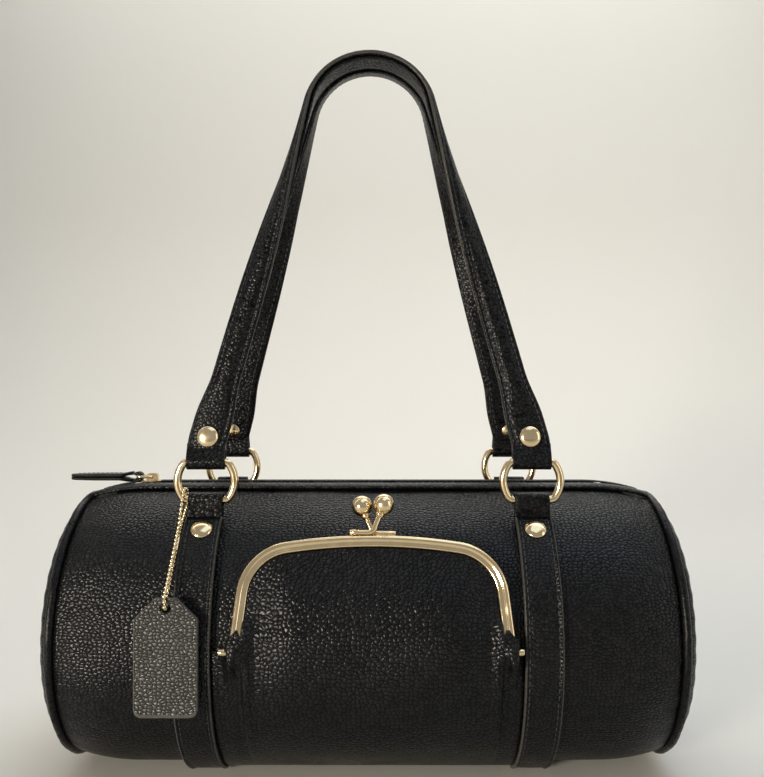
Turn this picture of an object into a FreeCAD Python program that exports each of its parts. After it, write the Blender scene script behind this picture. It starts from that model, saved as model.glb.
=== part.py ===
"""A leather barrel bag with two handles, a zip on top and a kiss-lock pocket on its front.

Lengths are in millimetres. The pieces are drawn about the barrel's axis, which runs along X;
+Z is up and the front is -Y. Angles round the barrel count from the top towards the front.
The finished pieces are moved so that the origin lies under the middle of the bag, on its base.
"""
import FreeCAD, Part
import math
import os

Vec = FreeCAD.Vector
ORIGIN = Vec(0, 0, 0)
EX, EY, EZ = Vec(1, 0, 0), Vec(0, 1, 0), Vec(0, 0, 1)

# Barrel
seam_length = 274.0
barrel_radius = 66.0
end_draw_in = 5.0
taper_length = 30.0
leather = 1.6
sewn_gap = 0.2
end_bulge = 12.5
end_knuckle = 7.0
seam_allowance = 5.0
piping_radius = 2.0
piping_clearance = 0.3
base_width = 48.0
lining_thickness = 0.8
lining_gap = 1.4

# Zip
zip_end_margin = 13.0
zip_slot_width = 18.0
facing_gap = 11.0
facing_width = 7.0
tape_thickness = 0.7
teeth_margin_left = 17.0
teeth_margin_right = 13.0
tooth_pitch = 3.0
tooth_width = 1.2
tooth_root = 0.84
tooth_reach = 2.4
tooth_overlap = 0.5
tooth_height = 2.5
stop_length = 3.0
stop_gap = 1.0
slider_lead = 1.4
slider_length = 9.0
slider_width = 8.4
slider_nose = 6.0
slider_taper = 3.6
slider_lip = 0.8
slider_post = 2.2
slider_plate = 1.1
slider_clearance = 0.35
crown_length = 5.6
crown_width = 2.4
crown_height = 3.4
crown_round = 1.4
link_wire = 1.4
link_length = 7.0
link_width = 6.0
pull_length = 33.5
pull_width = 9.0
pull_layer = 1.7
pull_neck = 5.1

# Straps round the barrel
strap_spacing = 149.0
strap_width = 16.6
strap_thickness = 1.5
strap_filler = 1.1
strap_rim = 1.6
strap_rim_height = 0.5
strap_end_angle = 36.0
tab_tail_angle = 18.0
tab_width = 16.4
tab_rivet_angle = 42.0

# Rings, tabs and rivets
ring_angle = 29.75
ring_stand_off = 6.56
ring_height = 17.3
ring_width = 26.2
ring_corner = 3.0
ring_wire = 3.6
loop_clearance = 0.3
loop_leather = 1.3
cap_radius = 4.9
cap_height = 1.9
cap_edge = 0.85
cap_shoulder_radius = 3.9
cap_shoulder_height = 1.6
shank_radius = 1.5
shank_clearance = 0.05
washer_radius = 3.6
washer_thickness = 0.9

# Handles
handle_width = 17.6
handle_thickness = 2.6
handle_strip = 1.2
handle_rise = 198.0
handle_gap = 1.0
handle_lean = 15.0
handle_waist = 13.4
waist_start = 19.0
waist_end = 40.0
twist_start = 50.0
twist_end = 195.0
foot_height = 6.5
foot_bend = 18.0
handle_rivet_height = 11.5

# Kiss-lock pocket
pocket_x = 2.0
frame_hinge_z = 4.5
frame_stand_off = 0.8
frame_tilt = 20.0
frame_side_room = 6.2
frame_height = 48.4
frame_leg_lean = 5.0
frame_shoulder = 24.0
frame_crown = 250.0
frame_bar = 5.0
frame_depth = 3.0
frame_round = 1.5
frame_gap = 0.4
frame_foot = 1.5
eye_radius = 2.7
eye_thickness = 1.6
eye_clearance = 0.3
pin_radius = 0.9
clasp_rod = 2.4
clasp_bar = 10.0
clasp_rise = 13.5
clasp_bend = 3.0
clasp_neck_radius = 2.0
clasp_neck_length = 1.9
ball_radius = 4.6
ball_spacing = 9.6
pocket_leather = 1.6
pocket_bottom_angle = 157.0
pocket_bulge = 2.5
pocket_clearance = 0.35

# Hang tag
tag_drop = 36.2
tag_width = 27.0
tag_length = 50.0
tag_thickness = 2.4
tag_clip = 9.0
tag_corner = 4.0
tag_hole = 2.2
tag_hole_drop = 2.0
tag_clearance = 0.6
bead_radius = 0.95
bead_pitch = 2.2
bead_end_radius = 0.57
bead_half_length = 0.76
connector_radius = 1.1
chain_loop = 5.3
chain_half_gap = 1.25
chain_clearance = 0.45

# Worked out from the sizes above
half_seam = seam_length / 2
zip_length = seam_length - 2 * zip_end_margin
teeth_start = teeth_margin_left - zip_length / 2
teeth_end = zip_length / 2 - teeth_margin_right
slider_x = teeth_start - slider_lead
end_radius = barrel_radius - end_draw_in
taper_radius = (taper_length ** 2 + end_draw_in ** 2) / (2 * end_draw_in)
taper_start = half_seam - taper_length
strap_x = strap_spacing / 2
strap_inner = sewn_gap + strap_filler + sewn_gap
strap_face = strap_inner + strap_thickness
strap_outer = strap_face + strap_rim_height
rest_depth = math.sqrt((barrel_radius + strap_outer) ** 2 - (base_width / 2) ** 2)
ring_y = -(barrel_radius + ring_stand_off) * math.sin(math.radians(ring_angle))
ring_z = (barrel_radius + ring_stand_off) * math.cos(math.radians(ring_angle))
wire_radius = ring_wire / 2
loop_inner = wire_radius + loop_clearance
loop_outer = loop_inner + loop_leather
handle_z = ring_z + ring_height
tilt = math.radians(frame_tilt)
frame_half_width = strap_x - strap_width / 2 - frame_side_room
frame_reach = barrel_radius + frame_stand_off + frame_depth + frame_gap / 2
frame_hinge_y = -(frame_reach - frame_hinge_z * math.sin(tilt)) / math.cos(tilt)
tag_x = -(strap_x + tab_width / 2 + chain_clearance + bead_radius)
tag_top_z = ring_z - tag_drop
far = 4 * barrel_radius
overcut = 1.0


def around(radius, angle, x=0.0):
    """A point at an angle round the barrel, from the top towards the front."""
    turn = math.radians(angle)
    return Vec(x, -radius * math.sin(turn), radius * math.cos(turn))


def line(start, end):
    return Part.LineSegment(start, end).toShape()


def arc(start, middle, end):
    return Part.Arc(start, middle, end).toShape()


def face_of(edges):
    return Part.Face(Part.Wire(Part.__sortEdges__(edges)))


def polygon_face(points):
    return Part.Face(Part.makePolygon(points + [points[0]]))


def block(low, high):
    size = high - low
    return Part.makeBox(size.x, size.y, size.z, low)


def front_to_back(shape):
    return shape.mirror(ORIGIN, EY)


def left_to_right(shape):
    return shape.mirror(ORIGIN, EX)


def placed(shape, origin, direction):
    """Turn a shape drawn along +Z to a direction and set it at a point."""
    copy = shape.copy()
    copy.Placement = FreeCAD.Placement(origin, FreeCAD.Rotation(EZ, direction))
    return copy


# The barrel's skin

def skin_radius(x, offset):
    run = abs(x) - taper_start
    if run <= 0:
        return barrel_radius + offset
    return barrel_radius - taper_radius + math.sqrt((taper_radius + offset) ** 2 - run ** 2)


def skin_point(x, offset):
    return Vec(x, 0, skin_radius(x, offset))


def skin_edges(x0, x1, offset):
    """The barrel's side line from x0 to x1: a straight middle with an arc to each end."""
    edges = []
    start = x0
    for corner in (-taper_start, taper_start):
        if start < corner < x1:
            edges.append(skin_span(start, corner, offset))
            start = corner
    edges.append(skin_span(start, x1, offset))
    return edges


def skin_span(x0, x1, offset):
    middle = (x0 + x1) / 2
    if abs(middle) < taper_start:
        return line(skin_point(x0, offset), skin_point(x1, offset))
    return arc(skin_point(x0, offset), skin_point(middle, offset), skin_point(x1, offset))


def skin_band(x0, x1, inner, outer):
    edges = skin_edges(x0, x1, inner) + skin_edges(x0, x1, outer)
    edges.append(line(skin_point(x0, inner), skin_point(x0, outer)))
    edges.append(line(skin_point(x1, inner), skin_point(x1, outer)))
    return face_of(edges)


def turned(face, start=0.0, end=360.0):
    face = face.copy()
    face.rotate(ORIGIN, EX, start)
    return face.revolve(ORIGIN, EX, end - start)


def flat_level(offset):
    """Height of the flat under the barrel for a layer this far outside the skin."""
    return strap_outer - offset - rest_depth


def below(level):
    return block(Vec(-far, -far, -far), Vec(far, far, level))


def barrel_core(x0, x1, offset):
    """The whole inside of the barrel out to an offset, flattened at its base."""
    edges = skin_edges(x0, x1, offset)
    edges.append(line(Vec(x0, 0, 0), skin_point(x0, offset)))
    edges.append(line(Vec(x1, 0, 0), skin_point(x1, offset)))
    edges.append(line(Vec(x0, 0, 0), Vec(x1, 0, 0)))
    return turned(face_of(edges)).cut(below(flat_level(offset)))


def top_slot(half_length, width):
    return block(Vec(-half_length, -width / 2, 0), Vec(half_length, width / 2, far))


def body_panel():
    edge = half_seam - piping_radius - sewn_gap
    shell = barrel_core(-edge, edge, 0).cut(barrel_core(-half_seam, half_seam, -leather))
    shell = shell.cut(top_slot(zip_length / 2, zip_slot_width))
    for hole in tab_rivet_holes():
        shell = shell.cut(hole)
    return shell


def lining():
    outside = -leather - lining_gap
    edge = half_seam - seam_allowance - piping_radius
    inner_edge = edge - lining_thickness
    bag = barrel_core(-edge, edge, outside)
    bag = bag.cut(barrel_core(-inner_edge, inner_edge, outside - lining_thickness))
    return bag.cut(top_slot(zip_length / 2, zip_slot_width))


def dome_edges(rim, thickness):
    """Half outline of a dished end: a rim, a knuckle arc and a shallow crown arc."""
    crown = (rim ** 2 - 2 * rim * end_knuckle + end_bulge ** 2) / (2 * (end_bulge - end_knuckle))
    knuckle_centre = Vec(half_seam, 0, rim - end_knuckle)
    crown_centre = Vec(half_seam + end_bulge - crown, 0, 0)
    lean = math.atan2(rim - end_knuckle, knuckle_centre.x - crown_centre.x)
    knuckle = end_knuckle - thickness
    crown = crown - thickness

    def on(centre, radius, angle):
        return centre + Vec(math.cos(angle), 0, math.sin(angle)) * radius

    rim_point = on(knuckle_centre, knuckle, math.pi / 2)
    bend = on(knuckle_centre, knuckle, (math.pi / 2 + lean) / 2)
    join = on(knuckle_centre, knuckle, lean)
    apex = on(crown_centre, crown, 0)
    allowance = rim_point - Vec(seam_allowance, 0, 0)
    edges = [line(allowance, rim_point), arc(rim_point, bend, join)]
    edges.append(arc(join, on(crown_centre, crown, lean / 2), apex))
    return edges, allowance, apex


def end_panel():
    rim = end_radius - piping_radius - piping_clearance
    outside, outer_lip, outer_apex = dome_edges(rim, 0)
    inside, inner_lip, inner_apex = dome_edges(rim, leather)
    edges = outside + inside + [line(outer_lip, inner_lip), line(outer_apex, inner_apex)]
    return turned(face_of(edges))


def piping():
    return Part.makeTorus(end_radius, piping_radius, Vec(half_seam, 0, 0), EX)


# The zip

def arc_angle(width):
    return math.degrees(width / barrel_radius)


def zip_facing():
    edge = half_seam - piping_radius - sewn_gap
    band = skin_band(-edge, edge, sewn_gap, sewn_gap + leather)
    return turned(band, arc_angle(facing_gap / 2), arc_angle(facing_gap / 2 + facing_width))


def zip_tape():
    edge = zip_length / 2 - sewn_gap
    band = skin_band(-edge, edge, -tape_thickness, 0)
    outer_edge = zip_slot_width / 2 - sewn_gap
    return turned(band, arc_angle(tooth_reach + sewn_gap), arc_angle(outer_edge))


def tooth_levels():
    middle = barrel_radius - tape_thickness / 2
    return middle - tooth_height / 2, middle + tooth_height / 2


def zip_teeth(first_x):
    """One row of teeth, each a tapered block that hooks past the middle of the zip."""
    low, high = tooth_levels()
    half = tooth_width / 2
    neck = tooth_root / 2
    tooth = polygon_face([
        Vec(-half, tooth_overlap, low), Vec(half, tooth_overlap, low),
        Vec(half, -tooth_overlap, low), Vec(neck, -tooth_reach, low),
        Vec(-neck, -tooth_reach, low), Vec(-half, -tooth_overlap, low),
    ]).extrude(Vec(0, 0, high - low))
    count = int((teeth_end - first_x) / tooth_pitch)
    row = []
    for index in range(count):
        copy = tooth.copy()
        copy.translate(Vec(first_x + index * tooth_pitch, 0, 0))
        row.append(copy)
    return Part.makeCompound(row)


def zip_stops():
    low, high = tooth_levels()
    start = slider_x - slider_length / 2 - stop_length - stop_gap
    end = teeth_end + stop_gap
    stops = [block(Vec(end, -tooth_reach, low), Vec(end + stop_length, tooth_reach, high))]
    for side in (-1, 1):
        near, wide = sorted((side * tooth_overlap, side * tooth_reach))
        stops.append(block(Vec(start, near, low), Vec(start + stop_length, wide, high)))
    return Part.makeCompound(stops)


def slider_levels():
    """Under and upper plates of the slider: (bottom, top) of each."""
    low, high = tooth_levels()
    upper = high + slider_clearance
    lower = low - slider_clearance
    return (lower - slider_plate, lower), (upper, upper + slider_plate)


def crown_hole_z():
    return slider_levels()[1][1] + crown_height / 2


def slider_plate_at(bottom, top):
    """A plate that narrows towards the closed side of the zip."""
    half = slider_length / 2
    wide = slider_width / 2
    narrow = slider_nose / 2
    taper = half - slider_taper
    outline = [Vec(-half, -wide, bottom), Vec(taper, -wide, bottom), Vec(half, -narrow, bottom)]
    outline += [Vec(half, narrow, bottom), Vec(taper, wide, bottom), Vec(-half, wide, bottom)]
    return polygon_face(outline).extrude(Vec(0, 0, top - bottom))


def zip_slider():
    (under_low, under_high), (over_low, over_high) = slider_levels()
    half = slider_length / 2
    taper = half - slider_taper
    body = slider_plate_at(under_low, under_high).fuse(slider_plate_at(over_low, over_high))
    tape_top = barrel_radius + slider_clearance
    tape_bottom = barrel_radius - tape_thickness - slider_clearance
    for side in (-1, 1):
        near, wide = sorted((side * (slider_width / 2 - slider_lip), side * slider_width / 2))
        body = body.fuse(block(Vec(-half, near, tape_top), Vec(taper, wide, over_high)))
        body = body.fuse(block(Vec(-half, near, under_low), Vec(taper, wide, tape_bottom)))
    post_end = slider_post - half
    post = block(Vec(-half, -tooth_overlap, under_high), Vec(post_end, tooth_overlap, over_low))
    body = body.fuse(post)
    crown = block(
        Vec(-crown_length / 2, -crown_width / 2, over_high),
        Vec(crown_length / 2, crown_width / 2, over_high + crown_height),
    )
    top_edges = [edge for edge in crown.Edges if edge.Length == crown.BoundBox.YLength]
    crown = crown.makeFillet(crown_round, [edge for edge in top_edges if is_high(edge, over_high)])
    bore = Part.makeCylinder(
        link_wire / 2 + loop_clearance, far, Vec(0, -far / 2, crown_hole_z()), EY
    )
    body = body.fuse(crown.cut(bore)).removeSplitter()
    body.translate(Vec(slider_x, 0, 0))
    return body


def is_high(edge, level):
    return edge.CenterOfMass.z > level + crown_height / 2


def zip_pull_link():
    """A flat wire loop: one end runs through the crown, the other holds the leather."""
    z = crown_hole_z()
    wire = link_wire / 2
    right = slider_x
    left = slider_x - link_length
    wide = link_width / 2
    corner = link_wire
    loop = stadium_path(Vec(left, -wide, z), Vec(right, wide, z), corner)
    return round_sweep(loop, wire)


def stadium_path(low, high, corner):
    """A closed flat rectangle with rounded corners, drawn at one height."""
    z = low.z
    c = corner
    k = corner * (1 - math.sqrt(0.5))
    x0, y0, x1, y1 = low.x, low.y, high.x, high.y
    return Part.Wire([
        line(Vec(x0 + c, y0, z), Vec(x1 - c, y0, z)),
        arc(Vec(x1 - c, y0, z), Vec(x1 - k, y0 + k, z), Vec(x1, y0 + c, z)),
        line(Vec(x1, y0 + c, z), Vec(x1, y1 - c, z)),
        arc(Vec(x1, y1 - c, z), Vec(x1 - k, y1 - k, z), Vec(x1 - c, y1, z)),
        line(Vec(x1 - c, y1, z), Vec(x0 + c, y1, z)),
        arc(Vec(x0 + c, y1, z), Vec(x0 + k, y1 - k, z), Vec(x0, y1 - c, z)),
        line(Vec(x0, y1 - c, z), Vec(x0, y0 + c, z)),
        arc(Vec(x0, y0 + c, z), Vec(x0 + k, y0 + k, z), Vec(x0 + c, y0, z)),
    ])


def round_sweep(path, radius):
    """A round wire along a path whose first edge is straight."""
    first = path.OrderedEdges[0]
    start = first.valueAt(first.FirstParameter)
    direction = first.tangentAt(first.FirstParameter)
    circle = Part.Circle(start, direction, radius).toShape()
    return path.makePipeShell([Part.Wire(circle)], True, False)


def zip_pull_leather():
    """A strip folded round the link, with a rounded free end."""
    z = crown_hole_z()
    fold_x = slider_x - link_length
    inner = link_wire / 2 + sewn_gap
    outer = inner + pull_layer
    end_x = fold_x - pull_length
    edges = [line(Vec(end_x, 0, z + outer), Vec(fold_x, 0, z + outer))]
    edges.append(arc(Vec(fold_x, 0, z + outer), Vec(fold_x + outer, 0, z), Vec(fold_x, 0, z - outer)))
    edges.append(line(Vec(fold_x, 0, z - outer), Vec(end_x, 0, z - outer)))
    edges.append(line(Vec(end_x, 0, z - outer), Vec(end_x, 0, z + outer)))
    strip = face_of(edges).extrude(Vec(0, pull_width, 0))
    strip.translate(Vec(0, -pull_width / 2, 0))
    eye = Part.makeCylinder(inner, far, Vec(fold_x, -far / 2, z), EY)
    strip = strip.cut(eye)
    return strip.common(pull_outline(fold_x + outer, end_x))


def pull_outline(right, left):
    """Plan of the pull: square at the fold, round at the free end, narrow beside the link."""
    half = pull_width / 2
    neck = link_width / 2 - link_wire / 2 - sewn_gap
    neck_x = right - pull_neck
    points = [Vec(right, -neck, 0), Vec(neck_x, -neck, 0)]
    points += [Vec(neck_x - half, -half, 0), Vec(left + half, -half, 0)]
    edges = [line(a, b) for a, b in zip(points, points[1:])]
    mirrored = [Vec(p.x, -p.y, 0) for p in points]
    edges += [line(a, b) for a, b in zip(mirrored, mirrored[1:])]
    edges.append(arc(points[-1], Vec(left, 0, 0), mirrored[-1]))
    edges.append(line(points[0], mirrored[0]))
    return face_of(edges).extrude(Vec(0, 0, far))


# Straps, tabs and rivets

def wedge(start, end):
    """All that lies between two angles round the barrel, less than half a turn apart."""
    points = [Vec(-far, 0, 0), around(far, start, -far), around(far, end, -far)]
    return polygon_face(points).extrude(Vec(2 * far, 0, 0))


def wrap(width, inner, outer, end_angle):
    """A band round the barrel, open at the top, with its middle at the left strap."""
    x0 = -strap_x - width / 2
    x1 = -strap_x + width / 2
    band = barrel_core(x0, x1, outer).cut(barrel_core(x0, x1, inner))
    return band.cut(wedge(-end_angle, end_angle))


def strap():
    band = wrap(strap_width, strap_inner, strap_outer, strap_end_angle)
    x0 = -strap_x - strap_width / 2 + strap_rim
    inside = strap_width - 2 * strap_rim
    sunk = Part.makeCylinder(barrel_radius + 2 * strap_outer, inside, Vec(x0, 0, 0), EX)
    sunk = sunk.cut(Part.makeCylinder(barrel_radius + strap_face, inside, Vec(x0, 0, 0), EX))
    band = band.cut(sunk)
    for hole in tab_rivet_holes():
        band = band.cut(hole)
    return band


def strap_filler_strip():
    start = strap_end_angle + tab_tail_angle + arc_angle(sewn_gap)
    return wrap(strap_width, sewn_gap, sewn_gap + strap_filler, start)


def tangent_point(point, centre, radius, side):
    """Where a line from a point touches a circle in the YZ plane."""
    reach = point - centre
    distance = math.hypot(reach.y, reach.z)
    angle = math.atan2(reach.z, reach.y) + side * math.acos(radius / distance)
    return centre + Vec(0, math.cos(angle), math.sin(angle)) * radius


def loop_face(low_a, low_b, centre, round_top):
    """A strip end folded round a ring's bar: two tangent lines, a round end and a hole."""
    touch_a = tangent_point(low_a, centre, loop_outer, 1)
    touch_b = tangent_point(low_b, centre, loop_outer, -1)
    edges = [line(low_a, touch_a), arc(touch_a, round_top, touch_b), line(touch_b, low_b)]
    edges.append(line(low_b, low_a))
    hole = Part.Wire(Part.Circle(centre, EX, loop_inner).toShape())
    return face_of(edges).cut(Part.Face(hole))


def ring_tab():
    """Front left tab: a tail under the strap and a loop round the ring's lower bar."""
    low = barrel_radius + sewn_gap
    high = low + strap_filler
    tail_end = strap_end_angle + tab_tail_angle
    neck = strap_end_angle - arc_angle(2 * leather)
    middle = (tail_end + neck) / 2
    x0 = -strap_x - tab_width / 2
    edges = [arc(around(low, neck, x0), around(low, middle, x0), around(low, tail_end, x0))]
    edges.append(arc(around(high, neck, x0), around(high, middle, x0), around(high, tail_end, x0)))
    edges.append(line(around(low, neck, x0), around(high, neck, x0)))
    edges.append(line(around(low, tail_end, x0), around(high, tail_end, x0)))
    tail = face_of(edges).extrude(Vec(tab_width, 0, 0))
    centre = Vec(x0, ring_y, ring_z)
    away = (centre - around((low + high) / 2, neck, x0)).normalize() * loop_outer
    loop = loop_face(around(low, neck, x0), around(high, neck, x0), centre, centre + away)
    tab = tail.fuse(loop.extrude(Vec(tab_width, 0, 0))).removeSplitter()
    for hole in tab_rivet_holes():
        tab = tab.cut(hole)
    return tab


def rivet(grip):
    """A domed cap above z = 0, a shank down through the grip and a washer under it."""
    shoulder = Vec(cap_shoulder_radius, 0, cap_shoulder_height)
    edges = [
        arc(Vec(0, 0, cap_height), shoulder, Vec(cap_radius, 0, cap_edge)),
        line(Vec(cap_radius, 0, cap_edge), Vec(cap_radius, 0, 0)),
        line(Vec(cap_radius, 0, 0), Vec(shank_radius, 0, 0)),
        line(Vec(shank_radius, 0, 0), Vec(shank_radius, 0, -grip)),
        line(Vec(shank_radius, 0, -grip), Vec(washer_radius, 0, -grip)),
        line(Vec(washer_radius, 0, -grip), Vec(washer_radius, 0, -grip - washer_thickness)),
        line(Vec(washer_radius, 0, -grip - washer_thickness), Vec(0, 0, -grip - washer_thickness)),
        line(Vec(0, 0, -grip - washer_thickness), Vec(0, 0, cap_height)),
    ]
    return face_of(edges).revolve(ORIGIN, EZ, 360)


def tab_rivet_seats():
    """Left and right seats on the front of the straps: a point and its outward direction."""
    out = around(1, tab_rivet_angle)
    seat = barrel_radius + strap_face + cap_seat()
    return [(out * seat + Vec(side * strap_x, 0, 0), out) for side in (-1, 1)]


def cap_seat():
    """How far a flat cap stands off the round strap so that its rim clears it."""
    return shank_clearance


def tab_rivet_holes():
    """Holes for the four tab rivets, front and back, left and right."""
    holes = []
    for seat, out in tab_rivet_seats():
        hole = Part.makeCylinder(shank_radius + shank_clearance, far / 4, seat - out * (far / 8), out)
        holes += [hole, front_to_back(hole)]
    return holes


def washer_drop():
    """Room under the leather, because the washer is flat and the leather is round."""
    face = barrel_radius - leather
    return face - math.sqrt(face ** 2 - washer_radius ** 2) + shank_clearance


def tab_rivets():
    grip = strap_face + cap_seat() + leather + washer_drop()
    return Part.makeCompound([placed(rivet(grip), seat, out) for seat, out in tab_rivet_seats()])


# Rings

def ring():
    """Front left ring: part of a circle at each side between two straight bars."""
    side = ring_width / 2
    half = ring_height / 2
    bar_end = math.sqrt(side ** 2 - half ** 2)
    centre = Vec(-strap_x, ring_y, ring_z + half)

    def at(x, z):
        return centre + Vec(x, 0, z)

    corners = [at(-bar_end, half), at(bar_end, half), at(bar_end, -half), at(-bar_end, -half)]
    path = Part.Wire([
        line(corners[0], corners[1]),
        arc(corners[1], at(side, 0), corners[2]),
        line(corners[2], corners[3]),
        arc(corners[3], at(-side, 0), corners[0]),
    ])
    path = rounded_corners(path, centre)
    return round_sweep(path, wire_radius)


def rounded_corners(path, centre):
    """Fillet the outline's four corners and start it on its top bar."""
    plate = Part.Face(path).extrude(EY)
    upright = [edge for edge in plate.Edges if abs(edge.tangentAt(edge.FirstParameter).y) > 0.9]
    plate = plate.makeFillet(ring_corner, upright)
    flat = [face for face in plate.Faces if abs(face.CenterOfMass.y - centre.y) < 1e-6]
    edges = Part.__sortEdges__(flat[0].OuterWire.Edges)
    first = max(range(len(edges)), key=lambda index: edges[index].CenterOfMass.z)
    return Part.Wire(edges[first:] + edges[:first])


# Handles, drawn in a plane that leans in over the zip

handle_apex_y = -(handle_waist + handle_gap) / 2
handle_tilt = math.asin((handle_apex_y - ring_y) / handle_rise)
UP_HANDLE = Vec(0, math.sin(handle_tilt), math.cos(handle_tilt))
OUT_HANDLE = Vec(0, -math.cos(handle_tilt), math.sin(handle_tilt))
HANDLE_BAR = Vec(0, ring_y, handle_z)
leg_lean = math.radians(handle_lean)
leg_x = strap_x - foot_bend * (1 - math.cos(leg_lean))
leg_up = foot_height + foot_bend * math.sin(leg_lean)


def leg_place(up):
    """Distance of the straight part of a leg from the middle of the bag."""
    return leg_x - math.tan(leg_lean) * (up - leg_up)


def handle_point(x, up, out=0.0):
    return HANDLE_BAR + EX * x + UP_HANDLE * up + OUT_HANDLE * out


def smooth_step(value, start, end):
    share = min(max((value - start) / (end - start), 0.0), 1.0)
    return share * share * (3 - 2 * share)


def handle_width_at(up):
    """Width of the band: full at the feet, then drawn in along the legs."""
    return handle_width - (handle_width - handle_waist) * smooth_step(up, waist_start, waist_end)


def handle_stations():
    """Right half of the handle's middle line: (x, height, lean in radians) from foot to apex."""
    spread = math.cos(leg_lean) - math.tan(leg_lean) * (1 - math.sin(leg_lean))
    apex_radius = leg_place(handle_rise) / spread
    arc_up = handle_rise - apex_radius * (1 - math.sin(leg_lean))
    stations = []
    for share in (0.0, 0.5):
        turn = leg_lean * share
        x = strap_x - foot_bend * (1 - math.cos(turn))
        stations.append((x, foot_height + foot_bend * math.sin(turn), turn))
    for share in (0.0, 0.05, 0.1, 0.15, 0.2, 0.3, 0.4, 0.5, 0.6, 0.7, 0.8, 0.9, 1.0):
        up = leg_up + (arc_up - leg_up) * share
        stations.append((leg_place(up), up, leg_lean))
    for share in (0.25, 0.5, 0.75, 1.0):
        turn = leg_lean + (math.pi / 2 - leg_lean) * share
        up = handle_rise - apex_radius * (1 - math.sin(turn))
        stations.append((apex_radius * math.cos(turn), up, turn))
    return stations


def handle_section(station, side, inset, low, high):
    """Cross-section of a layer between two depths, where 0 is the band's outer face."""
    x, up, lean = station
    reach = handle_width_at(up) / 2 - inset
    twist = math.radians(90) * smooth_step(up, twist_start, twist_end)
    outward = EX * (side * math.cos(lean)) + UP_HANDLE * math.sin(lean)
    across = outward * math.cos(twist) - OUT_HANDLE * math.sin(twist)
    facing = outward * math.sin(twist) + OUT_HANDLE * math.cos(twist)
    middle = handle_point(side * x, up) + facing * (handle_thickness / 2)
    corners = []
    for edge, depth in ((-1, low), (1, low), (1, high), (-1, high)):
        corners.append(middle + across * (edge * side * reach) - facing * depth)
    return Part.makePolygon(corners + [corners[0]])


def handle_loft(inset, low, high):
    right = handle_stations()
    sections = [handle_section(station, 1, inset, low, high) for station in right]
    left = reversed(right[:-1])
    sections += [handle_section(station, -1, inset, low, high) for station in left]
    return Part.makeLoft(sections, True, False)


def handle_foot(side):
    """The band's end, folded round the upper bar of a ring."""
    half = handle_thickness / 2
    x0 = side * strap_x - handle_width / 2
    front = handle_point(x0, foot_height, half)
    back = handle_point(x0, foot_height, -half)
    centre = handle_point(x0, 0)
    face = loop_face(front, back, centre, handle_point(x0, -loop_outer))
    return face.extrude(Vec(handle_width, 0, 0))


def through_handle(radius, side):
    """A round rod right through one leg of the handle, where its rivet sits."""
    start = handle_point(side * leg_place(handle_rivet_height), handle_rivet_height, -far / 8)
    return Part.makeCylinder(radius, far / 4, start, OUT_HANDLE)


def handle_band():
    band = handle_loft(0, 0, handle_thickness)
    band = band.fuse(handle_foot(-1)).fuse(handle_foot(1))
    for side in (-1, 1):
        band = band.cut(through_handle(shank_radius + shank_clearance, side))
    return band


def strip_corners(side, half_width):
    """What a half-round end takes off the inner strip above a ring."""
    corners = []
    for across, along in ((-1, -1), (1, -1), (1, 0), (-1, 0)):
        x = across * math.cos(leg_lean) - along * math.sin(leg_lean)
        up = across * math.sin(leg_lean) + along * math.cos(leg_lean)
        x = leg_place(handle_rivet_height) + handle_width * x
        corners.append(handle_point(side * x, handle_rivet_height + handle_width * up, -far / 8))
    plate = polygon_face(corners).extrude(OUT_HANDLE * (far / 4))
    return plate.cut(through_handle(half_width, side))


def handle_inner_strip():
    low = handle_thickness + sewn_gap
    strip = handle_loft(strap_rim, low, low + handle_strip)
    for side in (-1, 1):
        strip = strip.cut(strip_corners(side, handle_width / 2 - strap_rim))
        strip = strip.cut(through_handle(shank_radius + shank_clearance, side))
    return strip


def handle_rivets():
    grip = handle_thickness + sewn_gap + handle_strip + 2 * shank_clearance
    pair = []
    for side in (-1, 1):
        x = side * leg_place(handle_rivet_height)
        seat = handle_point(x, handle_rivet_height, handle_thickness / 2 + shank_clearance)
        pair.append(placed(rivet(grip), seat, OUT_HANDLE))
    return Part.makeCompound(pair)


# Kiss-lock pocket, drawn in the plane of its frame

UP_FRAME = Vec(0, math.sin(tilt), math.cos(tilt))
OUT_FRAME = Vec(0, -math.cos(tilt), math.sin(tilt))
HINGE = Vec(pocket_x, frame_hinge_y, frame_hinge_z)


def frame_point(x, up, out=0.0):
    return HINGE + EX * x + UP_FRAME * up + OUT_FRAME * out


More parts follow.
